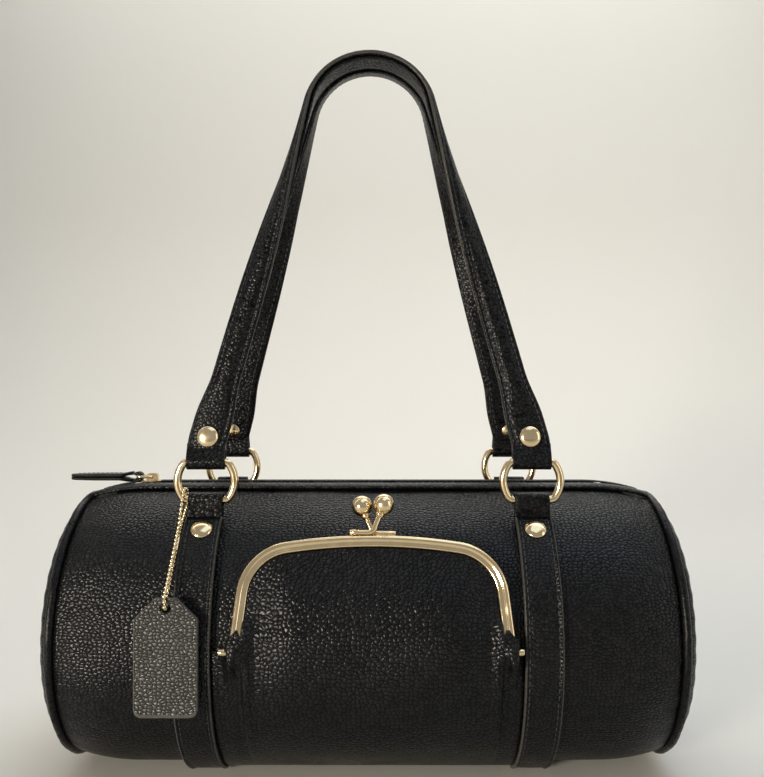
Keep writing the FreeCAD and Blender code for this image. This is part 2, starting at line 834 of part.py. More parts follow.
def arch_edges(inset, foot, out):
    """The frame's arch, moved in by an inset: legs, shoulder arcs and a shallow crown arc."""
    lean = math.radians(frame_leg_lean)
    crown = frame_crown - inset
    shoulder = frame_shoulder - inset
    crown_up = frame_height - frame_crown
    # Centre of the right shoulder: one radius inside the leg, and inside the crown's circle
    start_x = frame_half_width - frame_shoulder * math.cos(lean)
    start_up = -frame_shoulder * math.sin(lean) - crown_up
    b = -start_x * math.sin(lean) + start_up * math.cos(lean)
    c = start_x ** 2 + start_up ** 2 - (frame_crown - frame_shoulder) ** 2
    climb = -b + math.sqrt(b * b - c)
    centre_x = start_x - climb * math.sin(lean)
    centre_up = start_up + climb * math.cos(lean) + crown_up
    top_turn = math.atan2(centre_up - crown_up, centre_x)

    def on_shoulder(side, turn):
        x = side * (centre_x + shoulder * math.cos(turn))
        return frame_point(x, centre_up + shoulder * math.sin(turn), out)

    def leg_foot(side):
        x = frame_half_width - inset / math.cos(lean) - foot * math.tan(lean)
        return frame_point(side * x, foot, out)

    apex = frame_point(0, crown_up + crown, out)
    middle = (lean + top_turn) / 2
    return [
        line(leg_foot(-1), on_shoulder(-1, lean)),
        arc(on_shoulder(-1, lean), on_shoulder(-1, middle), on_shoulder(-1, top_turn)),
        arc(on_shoulder(-1, top_turn), apex, on_shoulder(1, top_turn)),
        arc(on_shoulder(1, top_turn), on_shoulder(1, middle), on_shoulder(1, lean)),
        line(on_shoulder(1, lean), leg_foot(1)),
    ], leg_foot(-1), leg_foot(1)


def arch_plate(inset, foot, out, depth):
    """All of the arch's inside as a plate, from a depth along the frame's outward direction."""
    edges, left, right = arch_edges(inset, foot, out)
    return face_of(edges + [line(left, right)]).extrude(OUT_FRAME * depth)


def frame_bar_half(front):
    """One half of the frame: an arched bar with rounded face edges and an eye at each foot."""
    side = 1 if front else -1
    back_face = side * frame_gap / 2
    bar = arch_plate(0, frame_foot, back_face, side * frame_depth)
    inside_start = back_face - side * overcut
    inside_depth = side * (frame_depth + 2 * overcut)
    bar = bar.cut(arch_plate(frame_bar, frame_foot - overcut, inside_start, inside_depth))
    face_level = back_face + side * frame_depth
    rims = [edge for edge in bar.Edges if on_face(edge, face_level) and edge.Length > 2 * frame_bar]
    bar = bar.makeFillet(frame_round, rims)
    for end in (-1, 1):
        bar = bar.cut(hinge_eye(end, not front, eye_clearance))
        bar = bar.fuse(hinge_eye(end, front, 0))
    for end in (-1, 1):
        start = frame_point(end * far / 2 - far / 2, 0)
        bore = Part.makeCylinder(pin_radius + shank_clearance, far, start, EX)
        bar = bar.cut(bore)
    return bar


def on_face(edge, level):
    return all(abs((vertex.Point - HINGE).dot(OUT_FRAME) - level) < 1e-6 for vertex in edge.Vertexes)


def hinge_eye(end, front, extra):
    """A disc at a foot of the frame; the front half's discs lie outside the back half's."""
    outer = frame_half_width if front else frame_half_width - eye_thickness - eye_clearance
    low = outer - eye_thickness - extra
    start = low if end > 0 else -low - eye_thickness - 2 * extra
    return Part.makeCylinder(eye_radius + extra, eye_thickness + 2 * extra, frame_point(start, 0), EX)


def frame_pins():
    length = 2 * eye_thickness + eye_clearance
    start = frame_half_width - length
    pins = [Part.makeCylinder(pin_radius, length, frame_point(start, 0), EX)]
    pins.append(Part.makeCylinder(pin_radius, length, frame_point(-frame_half_width, 0), EX))
    return Part.makeCompound(pins)


def clasp():
    """The front clasp: a rod lying on the crown that bends up into a stem with a ball."""
    rod = clasp_rod / 2
    out = (frame_gap + frame_depth) / 2
    bar_up = frame_height + rod + shank_clearance
    ball = frame_point(ball_spacing / 2, frame_height + clasp_rise, out)
    corner = frame_point(0, bar_up, out)
    stem = (ball - corner).normalize()
    along = EX
    half_turn = math.acos(stem.dot(along)) / 2
    cut = clasp_bend * math.tan(half_turn)
    bend_start = corner - along * cut
    bend_end = corner + stem * cut
    inward = (stem - along).normalize()
    bend_middle = corner + inward * (clasp_bend / math.cos(half_turn) - clasp_bend)
    path = Part.Wire([
        line(corner - along * clasp_bar, bend_start),
        arc(bend_start, bend_middle, bend_end),
        line(bend_end, ball),
    ])
    knob = Part.makeSphere(ball_radius, ball)
    neck_start = ball - stem * (ball_radius + rod)
    collar = Part.makeCone(rod, clasp_neck_radius, clasp_neck_length, neck_start, stem)
    return round_sweep(path, rod).fuse(collar).fuse(knob).removeSplitter()


def clasp_behind():
    """The back clasp mirrors the front one, so that the two stems cross."""
    copy = clasp().mirror(HINGE, EX)
    copy.translate(OUT_FRAME * -(frame_gap + frame_depth))
    return copy


def pocket_collar():
    """Leather between the barrel and the back of the frame, under the whole arch."""
    top = -frame_gap / 2 - frame_depth - sewn_gap
    inset = frame_round / 2
    collar = arch_plate(inset, eye_radius + eye_clearance, top, -barrel_radius / 2)
    collar = collar.cut(arch_plate(frame_bar, -far, top + overcut, -barrel_radius))
    return collar.cut(barrel_core(-half_seam, half_seam, sewn_gap))


def pocket_section(x, bulge):
    """Profile of the pocket front at one x, from the frame's crown to under the barrel."""
    near = barrel_radius + pocket_clearance
    wall = pocket_leather
    low = frame_gap / 2 + sewn_gap
    edges = []
    ends = []
    for depth in (0.0, wall):
        hugging = near + depth
        hinge = blended(frame_point(0, eye_radius, low + depth), hugging, bulge)
        top = blended(frame_point(0, frame_height, low + depth), hugging, bulge)
        middle_angle = (pocket_bottom_angle + 90) / 2
        middle = around(hugging + bulge * pocket_bulge, middle_angle)
        bottom = around(hugging, pocket_bottom_angle)
        top, hinge, middle, bottom = [Vec(x, p.y, p.z) for p in (top, hinge, middle, bottom)]
        edges += [line(top, hinge), arc(hinge, middle, bottom)]
        ends.append((top, bottom))
    (top_in, bottom_in), (top_out, bottom_out) = ends
    edges += [line(top_in, top_out), line(bottom_in, bottom_out)]
    return Part.Wire(Part.__sortEdges__(edges))


def blended(point, hugging, bulge):
    """A point that moves from a radius close to the barrel out to its own place."""
    radius = math.hypot(point.y, point.z)
    scale = (hugging + (radius - hugging) * bulge) / radius
    return Vec(0, point.y * scale, point.z * scale)


def pocket_front():
    side = strap_x - strap_width / 2 - sewn_gap - pocket_clearance
    full = frame_half_width - frame_bar / 2
    sections = [(-side, 0.0), (pocket_x - full, 1.0), (pocket_x + full, 1.0), (side, 0.0)]
    panel = Part.makeLoft([pocket_section(x, bulge) for x, bulge in sections], True, True)
    floor = -eye_radius - eye_clearance - pocket_clearance
    inside = arch_plate(frame_bar + pocket_clearance, floor - overcut, -far / 8, far / 4)
    low_block = Part.makeBox(far, far, far, Vec(-far / 2, -far, 0))
    low_block.rotate(ORIGIN, EX, -frame_tilt)
    low_block.translate(frame_point(0, floor) - UP_FRAME * far - Vec(pocket_x, 0, 0))
    low_block.translate(OUT_FRAME * -barrel_radius)
    return panel.common(inside.fuse(low_block))


# Hang tag

def tag_middle_y():
    return -(barrel_radius + strap_outer + tag_clearance + tag_thickness / 2)


def tag_hole_z():
    return tag_top_z - tag_hole_drop - tag_hole


def round_upright(plate, radius, low, high):
    """Round the corners of a plate in the XZ plane that lie between two heights."""
    edges = []
    for edge in plate.Edges:
        along = abs(edge.tangentAt(edge.FirstParameter).y)
        if along > 0.9 and low < edge.CenterOfMass.z < high:
            edges.append(edge)
    return plate.makeFillet(radius, edges)


def tag():
    """A leather plate with clipped upper corners, rounded lower ones and a hole."""
    half = tag_width / 2
    bottom = tag_top_z - tag_length
    shoulder = tag_top_z - tag_clip
    middle = (bottom + shoulder) / 2
    y = tag_middle_y() - tag_thickness / 2
    outline = [(tag_clip - half, tag_top_z), (half - tag_clip, tag_top_z), (half, shoulder), (half, bottom)]
    outline += [(-half, bottom), (-half, shoulder)]
    plate = polygon_face([Vec(tag_x + x, y, z) for x, z in outline]).extrude(EY * tag_thickness)
    plate = round_upright(plate, tag_corner, bottom - overcut, middle)
    plate = round_upright(plate, tag_corner / 2, middle, tag_top_z + overcut)
    return plate.cut(Part.makeCylinder(tag_hole, far, Vec(tag_x, -far, tag_hole_z()), EY))


def chain_route():
    """The closed loop of chain round the ring's bar and through the tag's hole, as (y, z)."""
    reach = tag_thickness / 2 + bead_radius + sewn_gap
    front, back = tag_middle_y() - reach, tag_middle_y() + reach
    over_tag = tag_top_z + bead_radius
    top = Vec(0, ring_y, ring_z)
    low = Vec(0, tag_middle_y(), over_tag)
    down = (low - top).normalize()
    across = down.cross(EX)
    route = []
    for turn in (-90, -130, 180, 130, 90):
        angle = math.radians(turn)
        route.append(top + (down * math.cos(angle) + across * math.sin(angle)) * chain_loop)
    for share in (0.3, 0.75):
        route.append(top + (low - top) * share + across * chain_half_gap)
    outer, inner = (front, back) if across.y < 0 else (back, front)
    route += [Vec(0, outer, over_tag), Vec(0, outer, tag_hole_z()), Vec(0, inner, tag_hole_z())]
    route.append(Vec(0, inner, over_tag))
    for share in (0.75, 0.3):
        route.append(top + (low - top) * share - across * chain_half_gap)
    return [point + EX * tag_x for point in route]


def chain_beads():
    """Evenly spaced (point, direction) pairs along the closed route."""
    route = chain_route()
    spans = list(zip(route, route[1:] + route[:1]))
    total = sum((end - start).Length for start, end in spans)
    count = round(total / bead_pitch)
    step = total / count
    beads = []
    travelled = 0.0
    for start, end in spans:
        length = (end - start).Length
        direction = (end - start) / length
        while len(beads) * step < travelled + length and len(beads) < count:
            beads.append((start + direction * (len(beads) * step - travelled), direction))
        travelled += length
    return beads, step


def bead():
    """A small round bead with few faces, its hole along Z left out."""
    sections = []
    end = (bead_half_length, bead_end_radius)
    for level, radius in ((-end[0], end[1]), (0.0, bead_radius), end):
        ring_points = []
        for corner in range(6):
            angle = math.radians(60 * corner)
            place = Vec(math.cos(angle), math.sin(angle), 0) * radius
            ring_points.append(place + EZ * level)
        sections.append(Part.makePolygon(ring_points + [ring_points[0]]))
    return Part.makeLoft(sections, True, True)


def connector_index(beads):
    """The connector takes the place of three beads, halfway down the strand nearer the barrel."""
    low, high = tag_top_z, ring_z
    middle = Vec(tag_x, 0, (low + high) / 2)
    behind = [index for index, (point, way) in enumerate(beads) if way.z > 0.5]
    return min(behind, key=lambda index: abs(beads[index][0].z - middle.z))


def tag_chain():
    beads, step = chain_beads()
    skip = connector_index(beads)
    shape = bead()
    kept = [pair for index, pair in enumerate(beads) if abs(index - skip) > 1]
    return Part.makeCompound([placed(shape, point, direction) for point, direction in kept])


def tag_connector():
    beads, step = chain_beads()
    point, direction = beads[connector_index(beads)]
    half = 2 * step - bead_radius - sewn_gap
    return Part.makeCylinder(connector_radius, 2 * half, point - direction * half, direction)


def mirrored_set(name, shape):
    """A front left piece and its three mirror images."""
    right = left_to_right(shape)
    return {
        name + "_front_left": shape,
        name + "_front_right": right,
        name + "_back_left": front_to_back(shape),
        name + "_back_right": front_to_back(right),
    }


def left_and_right(name, left):
    return {name + "_left": left, name + "_right": left_to_right(left)}


def front_and_back(name, front):
    return {name + "_front": front, name + "_back": front_to_back(front)}


def handle_set():
    band, strip, rivets = handle_band(), handle_inner_strip(), handle_rivets()
    nodes = {}
    for side, flip in (("front", False), ("back", True)):
        for piece, shape in (("band", band), ("strip", strip), ("rivets", rivets)):
            nodes["handle_" + side + "_" + piece] = front_to_back(shape) if flip else shape
    return nodes


def all_nodes():
    nodes = {"body_panel": body_panel(), "lining": lining()}
    nodes.update(left_and_right("end_panel", left_to_right(end_panel())))
    nodes.update(left_and_right("piping", left_to_right(piping())))
    nodes.update(front_and_back("zip_facing", zip_facing()))
    nodes.update(front_and_back("zip_tape", zip_tape()))
    nodes["zip_teeth_front"] = zip_teeth(teeth_start)
    nodes["zip_teeth_back"] = front_to_back(zip_teeth(teeth_start + tooth_pitch / 2))
    nodes["zip_stops"] = zip_stops()
    nodes["zip_slider"] = zip_slider()
    nodes["zip_pull_link"] = zip_pull_link()
    nodes["zip_pull_leather"] = zip_pull_leather()
    nodes.update(left_and_right("strap", strap()))
    nodes.update(left_and_right("strap_filler", strap_filler_strip()))
    nodes.update(mirrored_set("ring_tab", ring_tab()))
    nodes.update(front_and_back("tab_rivets", tab_rivets()))
    nodes.update(mirrored_set("ring", ring()))
    nodes.update(handle_set())
    nodes["pocket_frame_back"] = frame_bar_half(False)
    nodes["pocket_frame_front"] = frame_bar_half(True)
    nodes["frame_pins"] = frame_pins()
    nodes["clasp_back"] = clasp_behind()
    nodes["clasp_front"] = clasp()
    nodes["pocket_collar"] = pocket_collar()
    nodes["pocket_front"] = pocket_front()
    nodes["tag_chain"] = tag_chain()
    nodes["tag_connector"] = tag_connector()
    nodes["tag"] = tag()
    return nodes


def on_base():
    """The move that puts the origin on the base, under the middle of the bag's depth."""
    front_reach = -frame_hinge_y + (frame_gap / 2 + frame_depth) * math.cos(tilt)
    back_reach = barrel_radius + strap_outer
    return Vec(0, (front_reach - back_reach) / 2, rest_depth)


os.makedirs("parts", exist_ok=True)
move = on_base()
for node, shape in all_nodes().items():
    shape = shape.copy()
    shape.translate(move)
    shape.exportStep("parts/" + node + ".step")
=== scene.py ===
from math import acos, asin, atan2, cos, degrees, exp, hypot, pi, radians, sin, sqrt, tan

import bmesh
import bpy
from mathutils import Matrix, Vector


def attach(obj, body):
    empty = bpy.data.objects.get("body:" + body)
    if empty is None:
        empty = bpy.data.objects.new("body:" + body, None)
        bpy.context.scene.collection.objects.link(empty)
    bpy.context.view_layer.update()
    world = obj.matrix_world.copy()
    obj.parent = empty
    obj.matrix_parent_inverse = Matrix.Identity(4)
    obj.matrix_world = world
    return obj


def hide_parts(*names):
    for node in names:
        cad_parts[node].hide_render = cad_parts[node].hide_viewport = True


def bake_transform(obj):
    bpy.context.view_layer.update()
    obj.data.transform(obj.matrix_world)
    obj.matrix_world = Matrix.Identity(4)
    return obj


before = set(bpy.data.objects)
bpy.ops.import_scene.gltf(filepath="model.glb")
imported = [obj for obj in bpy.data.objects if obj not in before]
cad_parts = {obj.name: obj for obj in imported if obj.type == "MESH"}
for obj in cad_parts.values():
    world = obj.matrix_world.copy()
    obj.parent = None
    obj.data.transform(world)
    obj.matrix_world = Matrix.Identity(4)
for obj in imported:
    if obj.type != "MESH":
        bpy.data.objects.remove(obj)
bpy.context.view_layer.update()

# Sizes of the CAD model, in millimetres about the barrel's axis (X along it, front -Y, Z up)
MM = 0.001
FIT = 0.2
RADIUS = 66.0
HALF_SEAM = 137.0
DRAW_IN = 5.0
TAPER = 30.0
TAPER_RADIUS = (TAPER ** 2 + DRAW_IN ** 2) / (2 * DRAW_IN)
TAPER_START = HALF_SEAM - TAPER
LEATHER = 1.6
PIPING = 2.0
BODY_EDGE = HALF_SEAM - PIPING - FIT
END_RADIUS = RADIUS - DRAW_IN
STRAP_X = 74.5
STRAP_WIDTH = 16.6
STRAP_HALF = STRAP_WIDTH / 2
STRAP_INNER = 1.5
STRAP_FACE = 3.0
STRAP_OUTER = 3.5
STRAP_END = 36.0
BASE_HALF = 24.0
REST = sqrt((RADIUS + STRAP_OUTER) ** 2 - BASE_HALF ** 2)
ZIP_HALF = 124.0
SLOT_HALF = 9.0
TEETH_START = -107.0
TOOTH_MIDDLE = RADIUS - 0.35
TILT = radians(20.0)
FRAME_GAP = 0.8
FRAME_DEPTH = 3.0
FRAME_FACE = 3.2
HINGE_Z = 4.5
HINGE_Y = -(RADIUS + FRAME_GAP + FRAME_DEPTH + FIT - HINGE_Z * sin(TILT)) / cos(TILT)
SHIFT_Y = (-HINGE_Y + FRAME_FACE * cos(TILT) - RADIUS - STRAP_OUTER) / 2
RING_ANGLE = radians(29.75)
RING_REACH = 72.56
RING_Y = -RING_REACH * sin(RING_ANGLE)
RING_Z = RING_REACH * cos(RING_ANGLE)
RING_HEIGHT = 17.3
RING_WIDTH = 26.2
WIRE = 1.8
LOOP = 2.1 + 0.65
SIDES = ((-1, "left"), (1, "right"))
X_AXIS = Vector((1, 0, 0))


def at(x, y, z):
    """A point in the barrel's millimetres as a point in the row frame's metres."""
    return Vector((x, y + SHIFT_Y, z + REST)) * MM


def around(radius, angle, x=0.0):
    """The point at an angle in degrees from the top, forwards."""
    turn = radians(angle)
    return Vector((x, -radius * sin(turn), radius * cos(turn)))


def smooth(value, start, end):
    share = min(max((value - start) / (end - start), 0.0), 1.0)
    return share * share * (3 - 2 * share)


def mix(a, b, share):
    return a + (b - a) * share


def spaced(start, end, count):
    return [mix(start, end, k / count) for k in range(count + 1)]


def label_of(front):
    return "front" if front else "back"


# Materials

def feed(tree, node, **values):
    """Set a node's properties and inputs, and link the inputs that are given another node's output."""
    for key, value in values.items():
        name = key.replace("_", " ")
        if hasattr(node, key):
            setattr(node, key, value)
        elif isinstance(value, bpy.types.NodeSocket):
            tree.links.new(value, node.inputs[name])
        else:
            node.inputs[name].default_value = value
    return node


def add(tree, kind, **values):
    return feed(tree, tree.nodes.new("ShaderNode" + kind), **values)


def new_material(name, **values):
    material = bpy.data.materials.new(name)
    material.use_nodes = True
    tree = material.node_tree
    shader = feed(tree, tree.nodes["Principled BSDF"], **values)
    return material, tree, shader, add(tree, "TexCoord").outputs["Object"]


def ramp(tree, source, low, high, low_value=0.0, high_value=1.0):
    return add(tree, "MapRange", interpolation_type="SMOOTHSTEP", Value=source, From_Min=low, From_Max=high,
               To_Min=low_value, To_Max=high_value).outputs["Result"]


def calc(tree, operation, *values):
    node = add(tree, "Math", operation=operation)
    for socket, value in zip(node.inputs, values):
        if isinstance(value, float):
            socket.default_value = value
        else:
            tree.links.new(value, socket)
    return node.outputs[0]


def noise(tree, place, scale, detail=2.0):
    return add(tree, "TexNoise", Vector=place, Scale=scale, Detail=detail).outputs


def two_tone(tree, factor, low, high):
    return add(tree, "Mix", data_type="RGBA", A=low + (1,), B=high + (1,), Factor=factor).outputs["Result"]


def bump(tree, height, strength, depth):
    return add(tree, "Bump", Strength=strength, Distance=depth * MM, Height=height).outputs["Normal"]


def laid_out(tree, place, plane):
    """Coordinates for a pattern: wrapped round the barrel, flat on the front or an end, or in the solid."""
    if plane == "solid":
        return place
    x, y, z = add(tree, "SeparateXYZ", Vector=place).outputs
    if plane != "barrel":
        return add(tree, "CombineXYZ", X=x if plane == "front" else y, Y=z).outputs[0]
    y, z = calc(tree, "SUBTRACT", y, SHIFT_Y * MM), calc(tree, "SUBTRACT", z, REST * MM)
    along = calc(tree, "MULTIPLY", calc(tree, "ARCTAN2", y, z), RADIUS * MM)
    return add(tree, "CombineXYZ", X=x, Y=along).outputs[0]


BLACK = (0.006, 0.006, 0.0063)
# Colour painted into the creases between pebbles: painted shade
CREASE_SHADE = (0.001, 0.001, 0.001)

# Patterns of the grain per pebble, and the share of each in the height
PEBBLE_STRETCH = (0.85, 1.1, 1.0)
PEBBLE_RANDOM = 0.85
WARP_SCALE, WARP_REACH = 0.6, 0.7
PORE_SCALE, PORE_HEIGHT = 3.0, 0.25
CLOUD_SCALE = 0.08
CREASE_HEIGHT, DOME_HEIGHT = 0.6, 0.7
CREASE_GLOSS = 0.06


def leather(name, plane, pebble, depth, rough, crest=BLACK, crease_shade=CREASE_SHADE, gloss=0.26):
    """Leather: rounded pebbles parted by soft creases painted darker as painted shade, a fine pore grain and
    uneven gloss.
    """
    material, tree, shader, place = new_material(name)
    size = pebble * MM
    flat = add(tree, "Mapping", Scale=PEBBLE_STRETCH, Vector=laid_out(tree, place, plane)).outputs["Vector"]
    warp = add(tree, "VectorMath", operation="MULTIPLY_ADD")
    warp.inputs[1].default_value = (size * WARP_REACH,) * 3
    tree.links.new(noise(tree, flat, WARP_SCALE / size)["Color"], warp.inputs[0])
    tree.links.new(flat, warp.inputs[2])
    space = "3D" if plane == "solid" else "2D"
    edges, cells = [add(tree, "TexVoronoi", feature=feature, voronoi_dimensions=space, Scale=1.0 / size,
                        Randomness=PEBBLE_RANDOM, Vector=warp.outputs[0]).outputs
                    for feature in ("DISTANCE_TO_EDGE", "F1")]
    rise = calc(tree, "MULTIPLY", ramp(tree, edges["Distance"], -0.2, 0.4), CREASE_HEIGHT)
    dome = calc(tree, "MULTIPLY", ramp(tree, cells["Distance"], 0.0, 0.9, 1.0, 0.0), DOME_HEIGHT)
    pores = calc(tree, "MULTIPLY", noise(tree, flat, PORE_SCALE / size)["Fac"], PORE_HEIGHT)
    height = calc(tree, "ADD", calc(tree, "ADD", rise, dome), pores)
    clouds = noise(tree, place, CLOUD_SCALE / size)["Fac"]
    # Low in the creases, whose colour and gloss are painted darker as painted shade, and varied at random per
    # pebble
    shade = calc(tree, "MULTIPLY", ramp(tree, edges["Distance"], 0.0, 0.14),
                 ramp(tree, cells["Color"], 0.0, 1.0, 0.6, 1.0))
    feed(tree, shader, Normal=bump(tree, height, 1.0, depth), Base_Color=two_tone(tree, shade, crease_shade, crest),
         Roughness=ramp(tree, clouds, 0.3, 0.7, rough - 0.05, rough + 0.06),
         Specular_IOR_Level=ramp(tree, shade, 0.0, 1.0, CREASE_GLOSS, gloss))
    return material


def gold(name):
    """Polished pale gold plate with faint hairline wear and smudges."""
    material, tree, shader, place = new_material(name, Metallic=1.0)
    smudge = noise(tree, place, 160.0, 4.0)["Fac"]
    feed(tree, shader, Base_Color=two_tone(tree, smudge, (0.74, 0.56, 0.31), (0.85, 0.68, 0.42)),
         Roughness=ramp(tree, smudge, 0.35, 0.75, 0.1, 0.24),
         Normal=bump(tree, noise(tree, place, 900.0)["Fac"], 0.25, 0.02))
    return material


def woven(name, tone, pitch):
    """A close plain weave, painted darker in its hollows as painted shade."""
    material, tree, shader, place = new_material(name, Roughness=0.85)
    waves = [add(tree, "TexWave", wave_type="BANDS", bands_direction=direction, Vector=place,
                 Scale=1.0 / (pitch * MM * 6.28)).outputs["Fac"] for direction in ("X", "Y")]
    height = calc(tree, "MULTIPLY", *waves)
    feed(tree, shader, Normal=bump(tree, height, 0.8, 0.15),
         Base_Color=two_tone(tree, height, (tone * 0.5,) * 3, (tone, tone, tone * 1.05)))
    return material


def thread(name):
    """Waxed black thread with a fine twist, painted darker in the twist's grooves as painted shade."""
    material, tree, shader, place = new_material(name, Roughness=0.45)
    twist = noise(tree, place, 2500.0)["Fac"]
    feed(tree, shader, Normal=bump(tree, twist, 0.6, 0.05),
         Base_Color=two_tone(tree, twist, (0.01, 0.01, 0.012), (0.045, 0.045, 0.05)))
    return material


GRAIN = leather("grained_leather", "barrel", 1.7, 0.2, 0.3)
END_GRAIN = leather("end_leather", "end", 1.7, 0.2, 0.3)
SMALL_GRAIN = leather("strap_leather", "barrel", 1.6, 0.2, 0.3)
HANDLE_GRAIN = leather("handle_leather", "solid", 1.6, 0.16, 0.32)
SMOOTH = leather("smooth_leather", "solid", 1.0, 0.06, 0.3)
# The tag's lighter crest colour is a painted highlight on black leather; its darker creases are painted shade
TAG_LEATHER = leather("tag_leather", "front", 1.6, 0.42, 0.4, (0.05, 0.046, 0.038), (0.012, 0.011, 0.009),
                      gloss=1.0)
# Black edge paint, lightened as a painted highlight along the edges
EDGE = leather("edge_paint_with_highlight", "solid", 0.8, 0.06, 0.3, (0.07, 0.066, 0.058), (0.03, 0.028, 0.025))
RAW_EDGE = leather("cut_edge", "solid", 0.8, 0.08, 0.5, (0.11, 0.105, 0.095), (0.06, 0.057, 0.05))
GOLD = gold("gold_metal")
TAPE = woven("zip_tape_cloth", 0.02, 0.55)
LINING = woven("lining_cloth", 0.03, 0.4)
THREAD = thread("black_thread")


# Meshes

# Length, pitch and thickness of the stitches
FACING_STITCH = (2.4, 3.2, 0.26)
PULL_STITCH = (1.7, 2.3, 0.2)
STRAP_STITCH = (2.5, 3.3, 0.27)
HANDLE_STITCH = (2.3, 3.0, 0.26)

# Places along a stitch from its middle, and its thickness there, as shares
STITCH_FORM = ((-1.0, 0.45), (-0.7, 0.85), (0.0, 1.0), (0.7, 0.85), (1.0, 0.45))
STITCH_SINK = 0.8


def circle(centre, side, other, radius, sides):
    turns = [2 * pi * k / sides for k in range(sides)]
    return [centre + (side * cos(t) + other * sin(t)) * radius for t in turns]


class Shape:
    """Points in the barrel's millimetres and faces, gathered from several sweeps to become one piece."""

    def __init__(self):
        self.points, self.faces, self.indices = [], [], []

    def face(self, *corners):
        self.faces.append(corners)
        self.indices.append(0)

    def grid(self, rows, close_rows=False, close_columns=False, caps=False, skip=None):
        start = len(self.points)
        count, width = len(rows), len(rows[0])
        for row in rows:
            self.points += row
        for i in range(count if close_rows else count - 1):
            for j in range(width if close_columns else width - 1):
                if skip and skip(i, j):
                    continue
                a, b = start + i * width, start + (i + 1) % count * width
                k = (j + 1) % width
                self.face(a + j, a + k, b + k, b + j)
        if caps:
            for first in (start, start + (count - 1) * width):
                self.face(*range(first, first + width))
        return start

    def solid(self, rows):
        """A closed section carried from row to row, with both ends capped."""
        self.grid(rows, close_columns=True, caps=True)
        return self

    def mark(self, width, columns):
        """Give the faces in some columns of a closed grid, the only one so far, the edge's material."""
        for k in range(len(self.indices)):
            if k % width in columns:
                self.indices[k] = 1

    def tube(self, path, radius, sides, closed=False):
        """A round rod along a path, turned as little as possible from point to point."""
        rows = []
        side = None
        count = len(path)
        for i, point in enumerate(path):
            before = path[i - 1] if i or closed else path[0]
            after = path[(i + 1) % count] if i < count - 1 or closed else path[-1]
            along = (after - before).normalized()
            if side is None:
                side = along.orthogonal().normalized()
            side = (side - along * side.dot(along)).normalized()
            thick = radius[i] if isinstance(radius, list) else radius
            rows.append(circle(point, side, along.cross(side), thick, sides))
        self.grid(rows, closed, True, not closed)

    def lathe(self, profile, origin, axis, sides):
        """A turned form: (radius, height) points about an axis through an origin."""
        axis = axis.normalized()
        side = axis.orthogonal().normalized()
        self.solid([circle(origin + axis * height, side, axis.cross(side), max(radius, 1e-4), sides)
                    for radius, height in profile])

    def stitches(self, path, normals, length, pitch, thick):
        """Short sunk thread segments along a path."""
        travelled = 0.0
        next_at = pitch / 2
        for a, b, normal in zip(path, path[1:], normals):
            span = (b - a).length
            while next_at <= travelled + span:
                point = a + (b - a) * ((next_at - travelled) / span)
                along = (b - a).normalized()
                line = [point + along * (length * t / 2) - normal * (thick * abs(t) ** 3 * STITCH_SINK)
                        for t, _ in STITCH_FORM]
                self.tube(line, [thick * share for _, share in STITCH_FORM], 6)
                next_at += pitch
            travelled += span

    def faced(self, front):
        """The shape as it is at the front, or its mirror image at the back."""
        if not front:
            self.points = [Vector((p.x, -p.y, p.z)) for p in self.points]
        return self

    def make(self, name, material, edge=None):
        mesh = bpy.data.meshes.new(name)
        mesh.from_pydata([tuple(at(*p)) for p in self.points], [], self.faces)
        obj = bpy.data.objects.new(name, mesh)
        bpy.context.scene.collection.objects.link(obj)
        mesh.materials.append(material)
        if edge:
            mesh.materials.append(edge)
        mesh.polygons.foreach_set("material_index", self.indices)
        work = bmesh.new()
        work.from_mesh(mesh)
        bmesh.ops.remove_doubles(work, verts=work.verts, dist=1e-7)
        bmesh.ops.recalc_face_normals(work, faces=work.faces)
        work.to_mesh(mesh)
        work.free()
        mesh.shade_smooth()
        return obj

    def piece(self, name, material, body, slot, replaced=None, edge=None):
        obj = self.make(name, material, edge)
        if replaced:
            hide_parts(replaced)
        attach(obj, body)

    def metal(self, name, body, replaced):
        self.piece(name, GOLD, body, "gold_metal", replaced)

    def seam(self, name, body):
        self.piece(name, THREAD, body, "smooth_leather")


def rounded_profile(half_width, low, high, radius, crown=0.0, steps=4, across=9):
    """A closed strip section from low to high, with rounded edges and a crowned upper face."""
    side = half_width - radius
    profile = []
    for p, q, start in ((side, high - radius, 0), (-side, high - radius, 90),
                        (-side, low + radius, 180), (side, low + radius, 270)):
        for step in range(steps + 1):
            turn = radians(start + 90.0 * step / steps)
            profile.append((p + radius * cos(turn), q + radius * sin(turn)))
        if start == 0:
            flat = [mix(side, -side, k / across) for k in range(1, across)]
            profile += [(p, high + crown * (1 - (p / half_width) ** 2)) for p in flat]
        if start == 180:
            profile += [(mix(-side, side, k / across), low) for k in range(1, across)]
    return profile


# The barrel

def skin_radius(x, offset=0.0):
    run = abs(x) - TAPER_START
    if run <= 0:
        return RADIUS + offset
    return RADIUS - TAPER_RADIUS + sqrt((TAPER_RADIUS + offset) ** 2 - run ** 2)


def flattened(point, offset):
    """Softly lift a point that would lie under the bag's flat base."""
    soft, reach = 0.5, 6
    depth = STRAP_OUTER - offset - REST - point.z
    lift = (depth + sqrt(depth * depth + soft)) / 2 if depth > -reach else 0.0
    return Vector((point.x, point.y, point.z + lift))


def skin(x, angle, offset=0.0):
    return flattened(around(skin_radius(x, offset), angle, x), offset)


def uneven(x, angle):
    """Slow unevenness of soft leather, between 0 and 1."""
    t = radians(angle)
    wave = sin(0.043 * x + 2 * t) + sin(0.071 * x - 3 * t + 1.3) + sin(0.11 * x + 5 * t + 0.4)
    return 0.5 + wave / 6


# Depths to which the barrel's leather sinks in, and the angle and half width of the sag beside the zip
SINK, SINK_UNEVEN, SINK_HELD = 0.1, 0.5, 0.3
SAG, SAG_ANGLE, SAG_HALF = 0.9, 26.0, 13.0
PUCKER, PUCKER_REACH = 0.55, 6.0


